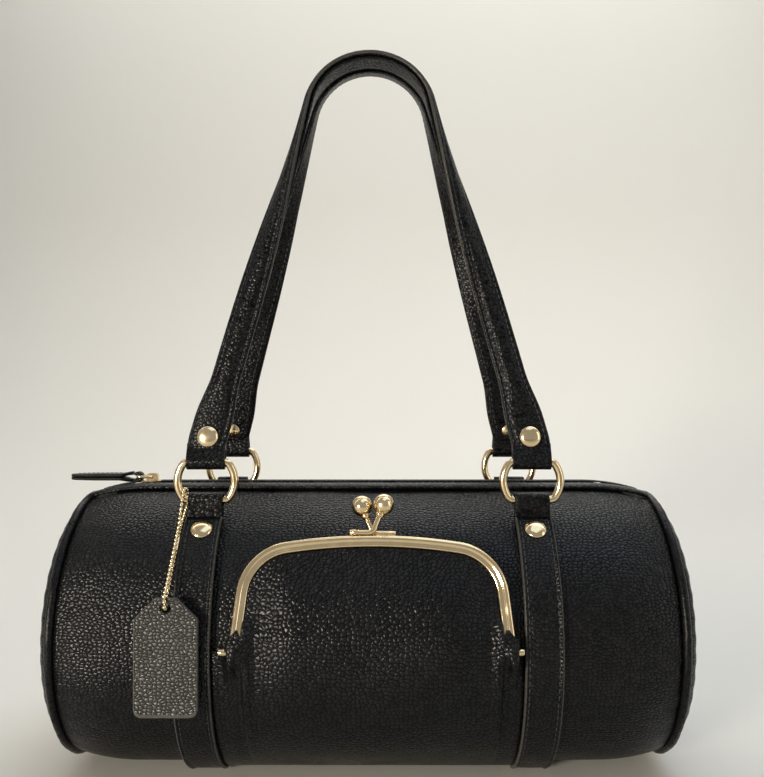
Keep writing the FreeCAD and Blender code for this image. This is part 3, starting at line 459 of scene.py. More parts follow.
def give(x, angle):
    """How far the barrel's leather has sunk in from the CAD skin, as a negative offset."""
    from_top = abs((angle + 180.0) % 360.0 - 180.0)
    t = radians(angle)
    depth = SINK + SINK_UNEVEN * uneven(x, angle)
    between_straps = smooth(abs(x), 68.0, 40.0)
    depth += SAG * between_straps * exp(-((from_top - SAG_ANGLE) / SAG_HALF) ** 2)
    end = BODY_EDGE - abs(x)
    pucker = 0.5 + 0.5 * sin(41 * t + 1.7 * sin(7 * t))
    depth += PUCKER * pucker * exp(-end / PUCKER_REACH) * smooth(end, 0.0, 2.0)
    held = smooth(abs(abs(x) - STRAP_X), 11.0, 7.0)
    return -mix(depth, SINK_HELD, held)


def build_body():
    slot_steps, round_steps, edge_steps, zip_steps = 6, 200, 6, 90
    slot = degrees(SLOT_HALF / RADIUS)
    columns = spaced(-slot, slot, slot_steps)[:-1] + spaced(slot, 360.0 - slot, round_steps)[:-1]
    xs = (spaced(-BODY_EDGE, -ZIP_HALF, edge_steps)[:-1] + spaced(-ZIP_HALF, ZIP_HALF, zip_steps)[:-1]
          + spaced(ZIP_HALF, BODY_EDGE, edge_steps))
    width, last, zip_end = len(columns), len(xs) - 1, edge_steps + zip_steps
    shape = Shape()

    def inside_slot(i, j):
        return j < slot_steps and edge_steps <= i < zip_end

    def layer(inset):
        rows = [[skin(x, a, give(x, a) - inset) for a in columns] for x in xs]
        return shape.grid(rows, close_columns=True, skip=inside_slot)

    outer, inner = layer(0.0), layer(LEATHER)

    def wall(i0, j0, i1, j1):
        a, b = i0 * width + j0 % width, i1 * width + j1 % width
        shape.face(outer + a, outer + b, inner + b, inner + a)

    for j in range(width):
        for i in (0, last):
            wall(i, j, i, j + 1)
    for i in range(edge_steps, zip_end):
        for j in (0, slot_steps):
            wall(i, j, i + 1, j)
    for j in range(slot_steps):
        for i in (edge_steps, zip_end):
            wall(i, j, i, j + 1)
    shape.piece("barrel_leather", GRAIN, "bag", "grained_leather", "body_panel")


def build_lining():
    edge, gap, thick, slack, dish = HALF_SEAM - 7.0, 3.1, 0.6, 0.5, 1.2
    slot = degrees(SLOT_HALF / RADIUS)
    columns = spaced(slot, 360.0 - slot, 90)

    def layer(depth):
        return [[skin(x, a, -depth - slack * uneven(x, a)) for a in columns] for x in spaced(-edge, edge, 60)]

    rows = [row + under[::-1] for row, under in zip(layer(gap), layer(gap + thick))]
    shape = Shape()
    shape.grid(rows, close_columns=True)
    for side, row in ((-1, rows[0][:len(columns)]), (1, rows[-1][:len(columns)])):
        shape.grid([[Vector((p.x + side * dish * (1 - share ** 2), p.y * share, p.z * share)) for p in row]
                    for share in (1.0, 0.75, 0.5, 0.25, 0.02)], close_columns=True)
    shape.piece("lining_cloth", LINING, "bag", "cloth", "lining")


def build_end(side, name):
    """A dished end with a slack, slightly dimpled crown."""
    rim = END_RADIUS - PIPING - 0.3
    bulge, knuckle = 12.5, 7.0
    crown = (rim ** 2 - 2 * rim * knuckle + bulge ** 2) / (2 * (bulge - knuckle))
    centre = HALF_SEAM + bulge - crown
    lean = atan2(rim - knuckle, HALF_SEAM - centre)

    def outline(inset):
        """(radius, x) from the seam over the knuckle to the middle of the crown."""
        points = [(rim - inset, HALF_SEAM - 5.0), (rim - inset, HALF_SEAM - 2.0)]
        small, large = knuckle - inset, crown - inset
        points += [(rim - knuckle + small * sin(t), HALF_SEAM + small * cos(t))
                   for t in spaced(pi / 2, lean, 8)]
        return points + [(large * sin(t), centre + large * cos(t)) for t in spaced(lean, 0.0, 12)[1:]]

    def slack(share, angle):
        t = radians(angle)
        dimple = 0.7 * share * (1 - share) * 4 * (0.5 + 0.5 * sin(3 * t + 0.6) * sin(2 * t + 1.1))
        pucker = 0.35 * exp(-((share - 0.93) / 0.05) ** 2) * (0.5 + 0.5 * sin(37 * t))
        return dimple + pucker

    columns = spaced(0.0, 360.0, 128)[:-1]
    rows = [[around(max(radius, 0.01), a, side * (x - slack(radius / rim, a))) for a in columns]
            for radius, x in outline(LEATHER)[::-1] + outline(0.0)]
    shape = Shape()
    shape.grid(rows, close_columns=True)
    shape.piece("end_leather_" + name, END_GRAIN, "bag", "grained_leather", "end_panel_" + name)


def build_piping(side, name):
    columns = spaced(0, 360, 180)[:-1]
    path = [around(END_RADIUS + 0.12 * sin(19 * radians(a)), a, side * HALF_SEAM) for a in columns]
    radius = [PIPING * (0.985 + 0.03 * sin(61 * radians(a))) for a in columns]
    shape = Shape()
    shape.tube(path, radius, 16, closed=True)
    shape.piece("piping_cord_" + name, SMOOTH, "bag", "smooth_leather", "piping_" + name)


# The zip

FACING = rounded_profile(3.5, 0.2, 1.8, 0.7, 0.45)
TAPE_MIDDLE = 5.7
TAPE_STRIP = rounded_profile(3.05, -0.7, 0.0, 0.2, 0.0, 2, 5)
TOOTH_PITCH = 3.0
TEETH_STOP = 109.0
TOOTH = [(-0.6, 0.5), (0.6, 0.5), (0.6, -0.5), (0.42, -2.4), (-0.42, -2.4), (-0.6, -0.5)]
TOOTH_HEART = 0.95
TOOTH_HALF = 1.25
TOOTH_LEVELS = ((-TOOTH_HALF, 0.72), (-1.0, 1.0), (1.0, 1.0), (TOOTH_HALF, 0.72))


def tooth_rows(x, side):
    """One zip tooth with bevelled faces."""
    return [[Vector((x + px * share, side * ((py + TOOTH_HEART) * share - TOOTH_HEART), TOOTH_MIDDLE + up))
             for px, py in TOOTH] for up, share in TOOTH_LEVELS]


def build_zip_side(side, name):
    def beside(x, across, lift):
        """A point over the skin, at a distance from the zip's middle."""
        return around(skin_radius(x, lift), side * degrees(across / RADIUS), x)

    facing = [[beside(x, SLOT_HALF + p, q) for p, q in FACING] for x in spaced(-BODY_EDGE, BODY_EDGE, 110)]
    Shape().solid(facing).piece("zip_facing_leather_" + name, SMALL_GRAIN, "bag", "smooth_leather",
                                "zip_facing_" + name)
    seam = Shape()
    out = around(1, side * degrees(SLOT_HALF / RADIUS))
    for shift in (-2.2, 2.2):
        path = [beside(x, SLOT_HALF + shift, 1.95) for x in spaced(-BODY_EDGE + 1, BODY_EDGE - 1, 110)]
        seam.stitches(path, [out] * len(path), *FACING_STITCH)
    seam.seam("zip_facing_stitches_" + name, "bag")
    tape = [[beside(x, TAPE_MIDDLE + p, q) for p, q in TAPE_STRIP]
            for x in spaced(-ZIP_HALF + FIT, ZIP_HALF - FIT, 60)]
    Shape().solid(tape).piece("zip_tape_cloth_" + name, TAPE, "bag", "cloth", "zip_tape_" + name)
    teeth = Shape()
    x = TEETH_START if side > 0 else TEETH_START + TOOTH_PITCH / 2
    while x < TEETH_STOP:
        teeth.solid(tooth_rows(x, side))
        x += TOOTH_PITCH
    teeth.metal("zip_tooth_row_" + name, "bag", "zip_teeth_" + name)


# The pull lies behind the slider, at the height of the link
PULL_Z = TOOTH_MIDDLE + TOOTH_HALF + 0.35 + 1.1 + 1.7
PULL_FOLD = TEETH_START - 1.4 - 7.0
PULL_START = PULL_FOLD - 2.5
PULL_END = PULL_FOLD - 33.5
PULL_HALF = 4.5
PULL_NECK = 3.0 - 0.7 - FIT
PULL_TURN = 0.82 * pi
PULL_LOOP = 1.75


def build_pull():
    """A folded leather strip round the link, stitched along its edges."""
    layers = []
    for x in spaced(PULL_START, PULL_END, 40):
        wide = mix(PULL_NECK, PULL_HALF, smooth(x, PULL_START, PULL_FOLD - 7.0))
        rounding = PULL_END + PULL_HALF - x
        if rounding > 0:
            wide = min(wide, sqrt(max(PULL_HALF ** 2 - rounding ** 2, 0.01)))
        closing = smooth(x, PULL_START, PULL_FOLD - 9.0)
        thin = 1.6 - 0.3 * smooth(x, PULL_FOLD - 20.0, PULL_END)
        layers.append((x, wide, mix(0.95, 0.06, closing), mix(2.55, thin, closing)))
    shape = Shape()
    for face in (-1, 1):
        shape.solid([[Vector((x, p, PULL_Z + face * q))
                      for p, q in rounded_profile(wide, low, high, min(0.6, wide * 0.8), 0.1, 3, 5)]
                     for x, wide, low, high in layers])
    section = rounded_profile(PULL_NECK, -0.8, 0.8, 0.5, 0.0, 3, 3)
    shape.solid([[Vector((PULL_FOLD + (PULL_LOOP + q) * cos(t), p, PULL_Z + (PULL_LOOP + q) * sin(t)))
                  for p, q in section] for t in spaced(-PULL_TURN, PULL_TURN, 24)])
    shape.piece("zip_pull_strip", SMOOTH, "zip_pull", "smooth_leather", "zip_pull_leather")
    seam = Shape()
    for side in (-1, 1):
        path = [Vector((x, side * max(wide - 1.2, 0.2), PULL_Z + high + 0.02))
                for x, wide, _, high in layers[8:38]]
        seam.stitches(path, [Vector((0, 0, 1))] * len(path), *PULL_STITCH)
    seam.seam("zip_pull_stitches", "zip_pull")


# Straps, tabs and rivets

def both_sides(right, middle):
    """A section from its right half and its middle point."""
    return right + [middle] + [(-p, q) for p, q in reversed(right)]


STRAP_SECTION = both_sides(
    [(STRAP_HALF - p, q) for p, q in (
        (0.4, STRAP_INNER), (0.0, STRAP_INNER + 0.4), (0.0, STRAP_OUTER - 0.75), (0.2, STRAP_OUTER - 0.25),
        (0.75, STRAP_OUTER), (1.25, STRAP_OUTER - 0.12), (1.6, STRAP_FACE - 0.12), (2.0, STRAP_FACE - 0.2),
        (2.7, STRAP_FACE - 0.02), (4.2, STRAP_FACE + 0.03))], (0.0, STRAP_FACE + 0.05))
STRAP_EDGE_COLUMNS = (1, 2, 3, 16, 17, 18)
FILLER_SECTION = rounded_profile(8.2, 0.2, 1.3, 0.3, 0.0, 2, 3)
FILLER_START = STRAP_END + 18.4
GROOVE_INSET, GROOVE_DEPTH = 2.0, 0.12


def build_strap(side, name):
    def on_strap(p, q, a):
        return flattened(around(RADIUS + q, a, side * STRAP_X + p), q)

    def wrapped(section, start, count):
        places = spaced(start, 360.0 - start, count)
        return Shape().solid([[on_strap(p, q, a) for p, q in section] for a in places])

    band = wrapped(STRAP_SECTION, STRAP_END, 180)
    band.mark(len(STRAP_SECTION), STRAP_EDGE_COLUMNS)
    band.piece("strap_band_" + name, SMALL_GRAIN, "bag", "grained_leather", "strap_" + name, EDGE)
    filler = wrapped(FILLER_SECTION, FILLER_START, 120)
    filler.piece("strap_filler_band_" + name, SMOOTH, "bag", "smooth_leather", "strap_filler_" + name)
    seam = Shape()
    for edge in (-1, 1):
        path = [on_strap(edge * (STRAP_HALF - GROOVE_INSET), STRAP_FACE - GROOVE_DEPTH, a)
                for a in spaced(STRAP_END + 1, 359 - STRAP_END, 240)]
        seam.stitches(path, [Vector((0, q.y, q.z)).normalized() for q in path], *STRAP_STITCH)
    seam.seam("strap_stitches_" + name, "bag")


def strip_rows(path, half_width, x, thick, crown, waist=0.0):
    """A leather strip of even thickness along a path in the YZ plane, drawn in a little near the ring."""
    waist_at, waist_reach = 0.42, 0.1
    rows = []
    last = len(path) - 1
    for i, point in enumerate(path):
        along = (path[min(i + 1, last)] - path[max(i - 1, 0)]).normalized()
        normal = X_AXIS.cross(along).normalized()
        half = half_width - waist * exp(-((i / last - waist_at) / waist_reach) ** 2)
        profile = rounded_profile(half, -thick / 2, thick / 2, min(0.45, thick / 2.2), crown, 3, 7)
        rows.append([Vector((x, point.y, point.z)) + X_AXIS * p + normal * q for p, q in profile])
    return rows


def spline(points, per_span):
    """A smooth curve through points."""
    made = []
    for i in range(len(points) - 1):
        p0, p1 = points[max(i - 1, 0)], points[i]
        p2, p3 = points[i + 1], points[min(i + 2, len(points) - 1)]
        for k in range(per_span):
            t = k / per_span
            made.append(0.5 * (2 * p1 + (p2 - p0) * t + (2 * p0 - 5 * p1 + 4 * p2 - p3) * t ** 2
                               + (3 * p1 - p0 - 3 * p2 + p3) * t ** 3))
    made.append(points[-1])
    return made


def build_tab(front, side, name):
    """A strip that comes out from under the strap, goes round the ring's lower bar and back down."""
    bar = Vector((0, RING_Y, RING_Z))
    out = Vector((0, -sin(RING_ANGLE), cos(RING_ANGLE)))
    down = Vector((0, -cos(RING_ANGLE), -sin(RING_ANGLE)))
    half, thick, crown, waist = 8.2, 1.15, 0.08, 0.5
    path = [around(RADIUS + 0.85, a) for a in (54.0, 49.0, 44.0, 40.0, 36.5)]
    path.append(around(RADIUS + 1.9, 34.2))
    for angle in (40, 75, 110, 145, 180, 215, 250, 285, 315):
        t = radians(angle)
        path.append(bar + down * (LOOP * cos(t)) + out * (LOOP * sin(t)))
    path += [around(RADIUS + 0.9, 33.4), around(RADIUS + 0.45, 36.5)]
    shape = Shape().solid(strip_rows(spline(path, 5), half, side * STRAP_X, thick, crown, waist))
    label = label_of(front) + "_" + name
    shape.faced(front).piece("ring_tab_strip_" + label, HANDLE_GRAIN, "bag", "grained_leather",
                             "ring_tab_" + label)


RIVET_CAP = [(0.0, 1.85), (0.8, 1.83), (1.6, 1.76), (2.4, 1.64), (3.1, 1.47), (3.7, 1.24), (4.2, 0.96),
             (4.55, 0.7), (4.78, 0.46), (4.88, 0.28), (4.88, 0.14), (4.75, 0.0)]
RIVET_FOOT = [(1.5, 0.0), (3.4, 0.0), (3.6, -0.2), (3.6, -0.7), (3.4, -0.9), (0.0, -0.9)]
TAB_RIVET_ANGLE = 42.0


def rivet(shape, seat, out, grip):
    foot = [(radius, height - grip) for radius, height in RIVET_FOOT]
    shape.lathe(RIVET_CAP + [(RIVET_FOOT[0][0], 0.0)] + foot, seat, out, 40)


def build_tab_rivets(front):
    shape = Shape()
    out = around(1, TAB_RIVET_ANGLE if front else -TAB_RIVET_ANGLE)
    for side in (-1, 1):
        seat = out * (RADIUS + STRAP_FACE + 0.05) + X_AXIS * (side * STRAP_X)
        rivet(shape, seat, out, STRAP_FACE + LEATHER + FIT)
    shape.metal("tab_rivet_caps_" + label_of(front), "bag", "tab_rivets_" + label_of(front))


# Rings and handles

def ring_path():
    """Middle line of a ring, about the middle of its lower bar."""
    side, half = RING_WIDTH / 2, RING_HEIGHT / 2
    bar = sqrt(side ** 2 - half ** 2)
    start = atan2(half, bar)
    outline = [(x, half) for x in spaced(-bar, bar, 24)]
    outline += [(side * cos(t), side * sin(t)) for t in spaced(start, -start, 40)[1:-1]]
    outline += [(-x, -z) for x, z in outline]
    for _ in range(6):
        outline = [((a[0] + 2 * b[0] + c[0]) / 4, (a[1] + 2 * b[1] + c[1]) / 4)
                   for a, b, c in zip(outline[-1:] + outline[:-1], outline, outline[1:] + outline[:1])]
    return [Vector((x, 0, z + half)) for x, z in outline]


def build_rings(front):
    for side, name in SIDES:
        shape = Shape()
        origin = Vector((side * STRAP_X, RING_Y if front else -RING_Y, RING_Z))
        shape.tube([p + origin for p in ring_path()], WIRE, 24, closed=True)
        label = label_of(front) + "_" + name
        shape.metal("ring_wire_" + label, label_of(front) + "_rings", "ring_" + label)


HANDLE_Z = RING_Z + RING_HEIGHT
HANDLE_RISE = 198.0
HANDLE_WIDTH = 17.6
HANDLE_THICK = 2.6
HANDLE_WAIST = 13.4
HANDLE_GAP = 1.0
HANDLE_LEAN = radians(15.0)
FOOT = 6.5
FOOT_BEND = 18.0
HANDLE_RIVET = 11.5
LEG_X = STRAP_X - FOOT_BEND * (1 - cos(HANDLE_LEAN))
LEG_UP = FOOT + FOOT_BEND * sin(HANDLE_LEAN)
HANDLE_TILT = asin((-(HANDLE_WAIST + HANDLE_GAP) / 2 - RING_Y) / HANDLE_RISE)
UP = Vector((0, sin(HANDLE_TILT), cos(HANDLE_TILT)))
OUT = Vector((0, -cos(HANDLE_TILT), sin(HANDLE_TILT)))
BAND_EDGE_COLUMNS = (1, 2, 21, 22)


def handle_point(x, up, out=0.0):
    return Vector((0, RING_Y, HANDLE_Z)) + X_AXIS * x + UP * up + OUT * out


def leg_place(up):
    """Distance of the straight part of a leg from the middle of the bag."""
    return LEG_X - tan(HANDLE_LEAN) * (up - LEG_UP)


def handle_line():
    """Right half of the handle's middle line: (x, height, lean) from foot to apex."""
    spread = cos(HANDLE_LEAN) - tan(HANDLE_LEAN) * (1 - sin(HANDLE_LEAN))
    apex = leg_place(HANDLE_RISE) / spread
    arc_up = HANDLE_RISE - apex * (1 - sin(HANDLE_LEAN))
    line = [(STRAP_X, FOOT - 0.8, 0.0)]
    line += [(STRAP_X - FOOT_BEND * (1 - cos(t)), FOOT + FOOT_BEND * sin(t), t)
             for t in spaced(0.0, HANDLE_LEAN, 10)[:-1]]
    line += [(leg_place(up), up, HANDLE_LEAN) for up in spaced(LEG_UP, arc_up, 70)[:-1]]
    line += [(apex * cos(t), HANDLE_RISE - apex * (1 - sin(t)), t)
             for t in spaced(HANDLE_LEAN, pi / 2, 32)]
    return line


def handle_frames():
    """(origin on the outer face, across, facing, half width, height) along the handle, from foot to foot."""
    right = handle_line()
    frames = []
    for side, (x, up, lean) in [(1, s) for s in right] + [(-1, s) for s in reversed(right[:-1])]:
        twist = radians(90) * smooth(up, 50.0, 195.0)
        outward = X_AXIS * (side * cos(lean)) + UP * sin(lean)
        across = outward * cos(twist) - OUT * sin(twist)
        facing = outward * sin(twist) + OUT * cos(twist)
        half = mix(HANDLE_WIDTH, HANDLE_WAIST, above_foot(up)) / 2
        frames.append((handle_point(side * x, up) + facing * (HANDLE_THICK / 2), across, facing, half, up))
    return frames


def above_foot(up):
    return smooth(up, 19.0, 40.0)


def band_section(half, crown):
    """Section of the handle band, outer face at q = 0: rounded edges, shallow stitch grooves and a crown."""
    right = [(half - p, q) for p, q in (
        (0.9, -HANDLE_THICK), (0.25, -HANDLE_THICK + 0.3), (0.0, -1.5), (0.15, -0.8), (0.6, -0.3),
        (1.2, -0.12), (1.7, -0.22), (2.1, -0.3), (2.6, -0.12), (3.4, 0.3 * crown))]
    return both_sides(right + [(half * 0.45, 0.75 * crown), (half * 0.2, 0.95 * crown)], (0.0, crown))


def build_handle(front):
    label = label_of(front)
    body = label + "_handle"
    frames = handle_frames()

    rows = [[origin + across * p + facing * q for p, q in band_section(half, mix(0.35, 0.9, above_foot(up)))]
            for origin, across, facing, half, up in frames]
    band = Shape().solid(rows)
    band.mark(len(rows[0]), BAND_EDGE_COLUMNS)
    fold = [(8.5, 0.7), (FOOT, 0.74), (4.6, 1.5)]
    turns = [radians(a) for a in spaced(65, 295, 10)]
    path = [handle_point(0, up, out) for up, out in fold]
    path += [handle_point(0, LOOP * cos(t), LOOP * sin(t)) for t in turns]
    path += [handle_point(0, up, -out) for up, out in reversed(fold)]
    for side in (-1, 1):
        band.solid(strip_rows(spline(path, 3), HANDLE_WIDTH / 2, side * STRAP_X, 1.25, 0.1))
    band.faced(front).piece("handle_band_" + label, HANDLE_GRAIN, body, "grained_leather",
                            "handle_%s_band" % label, EDGE)

    rows = []
    for origin, across, facing, half, up in frames:
        if up < FOOT:
            continue
        wide = half - 1.6
        below = (HANDLE_RIVET - up) / cos(HANDLE_LEAN)
        if below > 0:
            wide = sqrt(max(wide ** 2 - below ** 2, 0.0))
        rows.append([origin + across * p - facing * (HANDLE_THICK + FIT + q)
                     for p, q in rounded_profile(wide, 0.0, 1.2, min(0.5, wide / 2), 0.15, 3, 7)])
    strip = Shape().solid(rows).faced(front)
    strip.piece("handle_lining_strip_" + label, HANDLE_GRAIN, body, "smooth_leather",
                "handle_%s_strip" % label)

    seam = Shape()
    for edge in (-1, 1):
        for sign, depth, inset, low in ((1, 0.2, 2.1, FOOT), (-1, HANDLE_THICK + 1.4, 3.1, HANDLE_RIVET)):
            sewn = [station for station in frames if station[4] > low]
            path = [origin + across * (edge * (half - inset)) - facing * depth
                    for origin, across, facing, half, _ in sewn]
            seam.stitches(path, [station[2] * sign for station in sewn], *HANDLE_STITCH)
    seam.faced(front).seam("handle_stitches_" + label, body)

    rivets = Shape()
    for side in (-1, 1):
        seat = handle_point(side * leg_place(HANDLE_RIVET), HANDLE_RIVET, HANDLE_THICK / 2 + 0.35)
        rivet(rivets, seat, OUT, HANDLE_THICK + 1.75)
    rivets.faced(front).metal("handle_rivet_caps_" + label, body, "handle_%s_rivets" % label)


# Kiss-lock pocket

UP_FRAME = Vector((0, sin(TILT), cos(TILT)))
OUT_FRAME = Vector((0, -cos(TILT), sin(TILT)))
HINGE = Vector((2.0, HINGE_Y, HINGE_Z))
FRAME_HALF = 60.0
FRAME_HEIGHT = 48.4
LEG_LEAN = radians(5.0)
SHOULDER = 24.0
CROWN = 250.0
CROWN_UP = FRAME_HEIGHT - CROWN
FRONT_BAR = [(0.0, 0.2), (0.0, 1.7), (0.12, 2.3), (0.42, 2.8), (0.9, 3.1), (1.45, 3.2), (2.0, 3.1),
             (2.45, 2.85), (2.7, 2.62), (3.0, 2.55), (4.2, 2.5), (4.65, 2.38), (4.92, 2.1),
             (5.0, 1.7), (5.0, 0.2)]
BACK_BAR = [(0.0, -0.2), (0.0, -1.9), (0.3, -2.7), (1.1, -3.15), (2.5, -3.2), (3.9, -3.15), (4.7, -2.7),
            (5.0, -1.9), (5.0, -0.2)]
KNUCKLE = [(0.95, -0.8), (2.4, -0.8), (2.62, -0.72), (2.7, -0.5), (2.7, 0.5), (2.62, 0.72), (2.4, 0.8),
           (0.95, 0.8)]
KNUCKLE_ARM = ((-0.7, 0.25), (0.7, 0.25), (0.7, 2.2), (-0.7, 2.2))


def frame_point(x, up, out=0.0):
    return HINGE + X_AXIS * x + UP_FRAME * up + OUT_FRAME * out


def shoulder_place():
    """Centre (x, up) of the right shoulder's arc, and the turn at which the arc meets the crown."""
    start_x = FRAME_HALF - SHOULDER * cos(LEG_LEAN)
    start_up = -SHOULDER * sin(LEG_LEAN) - CROWN_UP
    b = -start_x * sin(LEG_LEAN) + start_up * cos(LEG_LEAN)
    c = start_x ** 2 + start_up ** 2 - (CROWN - SHOULDER) ** 2
    climb = -b + sqrt(b * b - c)
    x, up = start_x - climb * sin(LEG_LEAN), start_up + climb * cos(LEG_LEAN) + CROWN_UP
    return x, up, atan2(up - CROWN_UP, x)


SHOULDER_X, SHOULDER_UP, SHOULDER_TURN = shoulder_place()


def arch_over(inset, shoulder_steps=14, crown_steps=40):
    """The arch from one shoulder's start over the crown to the other's, as (x, up)."""
    shoulder, crown = SHOULDER - inset, CROWN - inset
    right = [(SHOULDER_X + shoulder * cos(t), SHOULDER_UP + shoulder * sin(t))
             for t in spaced(SHOULDER_TURN, LEG_LEAN, shoulder_steps)]
    over = [(crown * cos(t), CROWN_UP + crown * sin(t))
            for t in spaced(pi - SHOULDER_TURN, SHOULDER_TURN, crown_steps)[:-1]]
    return [(-x, up) for x, up in right[:0:-1]] + over + right


def leg_x(inset, up):
    return FRAME_HALF - inset / cos(LEG_LEAN) - up * tan(LEG_LEAN)


def arch(inset, foot):
    over = arch_over(inset)
    left = [(-leg_x(inset, up), up) for up in spaced(foot, over[0][1], 10)[:-1]]
    return left + over + [(-x, up) for x, up in reversed(left)]


def build_frame_half(front):
    lines = [[frame_point(x, up, out) for x, up in arch(inset, 1.5)]
             for inset, out in (FRONT_BAR if front else BACK_BAR)]
    shape = Shape().solid([list(row) for row in zip(*lines)])
    outer = FRAME_HALF if front else FRAME_HALF - 1.9
    facing = OUT_FRAME if front else -OUT_FRAME
    for end in (-1, 1):
        middle = frame_point(end * (outer - 0.8), 0.0)
        shape.lathe(KNUCKLE, middle, X_AXIS, 32)
        shape.solid([[middle + X_AXIS * (p - end * 0.1) + UP_FRAME * up + facing * out
                      for p, out in KNUCKLE_ARM] for up in (0.4, 1.2, 2.6, 4.0)])
    label = label_of(front)
    shape.metal("pocket_frame_bar_" + label, "pocket_frame" if front else "bag", "pocket_frame_" + label)


def build_pins():
    """The frame's two hinge pins, with ends that reach out towards the straps."""
    shape = Shape()
    for end, reach in ((-1, 4.2), (1, 3.2)):
        profile = [(0.0, 0.0), (0.9, 0.0), (0.9, 3.55), (1.3, 3.6), (1.45, 3.9), (1.45, 3.1 + reach),
                   (1.2, 3.4 + reach), (0.0, 3.5 + reach)]
        shape.lathe(profile, frame_point(end * (FRAME_HALF - 3.5), 0.0), X_AXIS * end, 24)
    shape.metal("frame_pin_rods", "bag", "frame_pins")


CLASP_ROD = 1.2
CLASP_BEND = 3.0
CLASP_OUT = 1.7
BALL = 4.6
BALL_X, BALL_UP = 4.8, 13.5
BALL_NECK = [(CLASP_ROD, -6.0), (1.75, -5.6), (2.0, -5.1), (2.05, -4.6), (1.9, -4.0)]


def bend(start, corner, end, count):
    return [start * (1 - t) ** 2 + corner * (2 * t * (1 - t)) + end * t ** 2 for t in spaced(0.0, 1.0, count)]


def ball_profile(radius, steps):
    return [(radius * sin(t), radius * cos(t)) for t in spaced(0.0, pi, steps)]


def build_clasp(front):
    """A bent rod on the frame that ends in a ball; the back one leans the other way."""
    corner = frame_point(0, FRAME_HEIGHT + CLASP_ROD + 0.05, CLASP_OUT)
    ball = frame_point(BALL_X, FRAME_HEIGHT + BALL_UP, CLASP_OUT)
    stem = (ball - corner).normalized()
    cut = CLASP_BEND * tan(acos(stem.dot(X_AXIS)) / 2)
    end = corner + stem * cut
    path = [corner - X_AXIS * reach for reach in (10.0, 9.8, 6.0)]
    path += bend(corner - X_AXIS * cut, corner, end, 10) + [mix(end, ball, 0.4), ball]
    shape = Shape()
    shape.tube(path, [CLASP_ROD * 0.82] + [CLASP_ROD] * (len(path) - 1), 20)
    shape.lathe(ball_profile(BALL, 28), ball, stem, 40)
    shape.lathe(BALL_NECK, ball, stem, 24)
    if not front:
        shift = OUT_FRAME * (-2 * CLASP_OUT)
        shape.points = [Vector((2 * HINGE.x - p.x, p.y, p.z)) + shift for p in shape.points]
    label = label_of(front)
    shape.metal("clasp_ball_" + label, "pocket_frame" if front else "bag", "clasp_" + label)


def build_collar():
    """Leather wall between the barrel and the back of the frame."""
    def on_barrel(x, up):
        """The point behind a place on the frame at which the barrel is met."""
        p = frame_point(x, up)
        b = p.y * OUT_FRAME.y + p.z * OUT_FRAME.z
        c = p.y ** 2 + p.z ** 2 - (RADIUS - 0.2) ** 2
        return frame_point(x, up, min(-b + sqrt(max(b * b - c, 0.0)), -3.6))

    rows = [[on_barrel(*outer), frame_point(*outer, -3.4), frame_point(*inner, -3.4), on_barrel(*inner)]
            for outer, inner in zip(arch(0.9, 3.2), arch(4.9, 3.2))]
    Shape().solid(rows).piece("pocket_collar_leather", GRAIN, "bag", "grained_leather", "pocket_collar")


POCKET_TOP = 4.5
POCKET_INSET = 5.2
POCKET_SIDE = STRAP_X - STRAP_HALF - 0.3
POCKET_END = 157.0
POCKET_THICK = 1.5
HUG = RADIUS + 0.35 + LEATHER


def pocket_out(x, up):
    """How far the pocket leather's face stands out from the frame's plane."""
    ax = abs(x)
    over_leg = 2.5 * smooth(ax, 49.0, 54.5) * smooth(up, 15.0, 9.0)
    puff = 3.4 * smooth(ax, 53.0, 33.0) * (1 - 0.25 * (1 - ax / FRAME_HALF) ** 2) * smooth(up, 44.0, 18.0)
    return 1.6 + over_leg + puff


def pocket_low(x, share):
    """The pocket's face below the frame, from the top edge (0) to where it meets the barrel (1)."""
    local = x - HINGE.x
    ax = abs(local)
    flap = 4.2 * smooth(ax, 54.6, 55.4) * smooth(ax, 61.0, 55.6)
    top_up = POCKET_TOP + flap - 7.0 * smooth(ax, 60.4, 62.0)
    start = frame_point(local, top_up, pocket_out(local, top_up))
    angle = mix(degrees(atan2(-start.y, start.z)), POCKET_END, share)
    puff = 3.0 * max(1 - (ax / 64.0) ** 2, 0.0) * sin(pi * min(share * 1.2, 1.0)) ** 2
    hinge = smooth(ax, 53.0, 57.0)
    held = 0.13 * hinge * smooth(ax, 61.6, 59.6)
    below = max(share - held, 0.0) / (1 - held)
    fall = (1 - below) ** mix(2.0, 14.0, hinge) * (1 + 1.2 * below)
    over_hinge = 1.2 * hinge * smooth(share, 0.17, 0.1) * smooth(share, 0.0, 0.08)
    full = HUG + (hypot(start.y, start.z) - HUG) * fall + puff + over_hinge
    ripple = 0.35 * sin(0.11 * x + 3.0 * share) * sin(pi * share)
    edge = POCKET_SIDE - HINGE.x
    radius = mix(HUG, full + ripple, smooth(ax, edge, edge - 4.0))
    return flattened(around(radius, angle, x), radius - RADIUS)


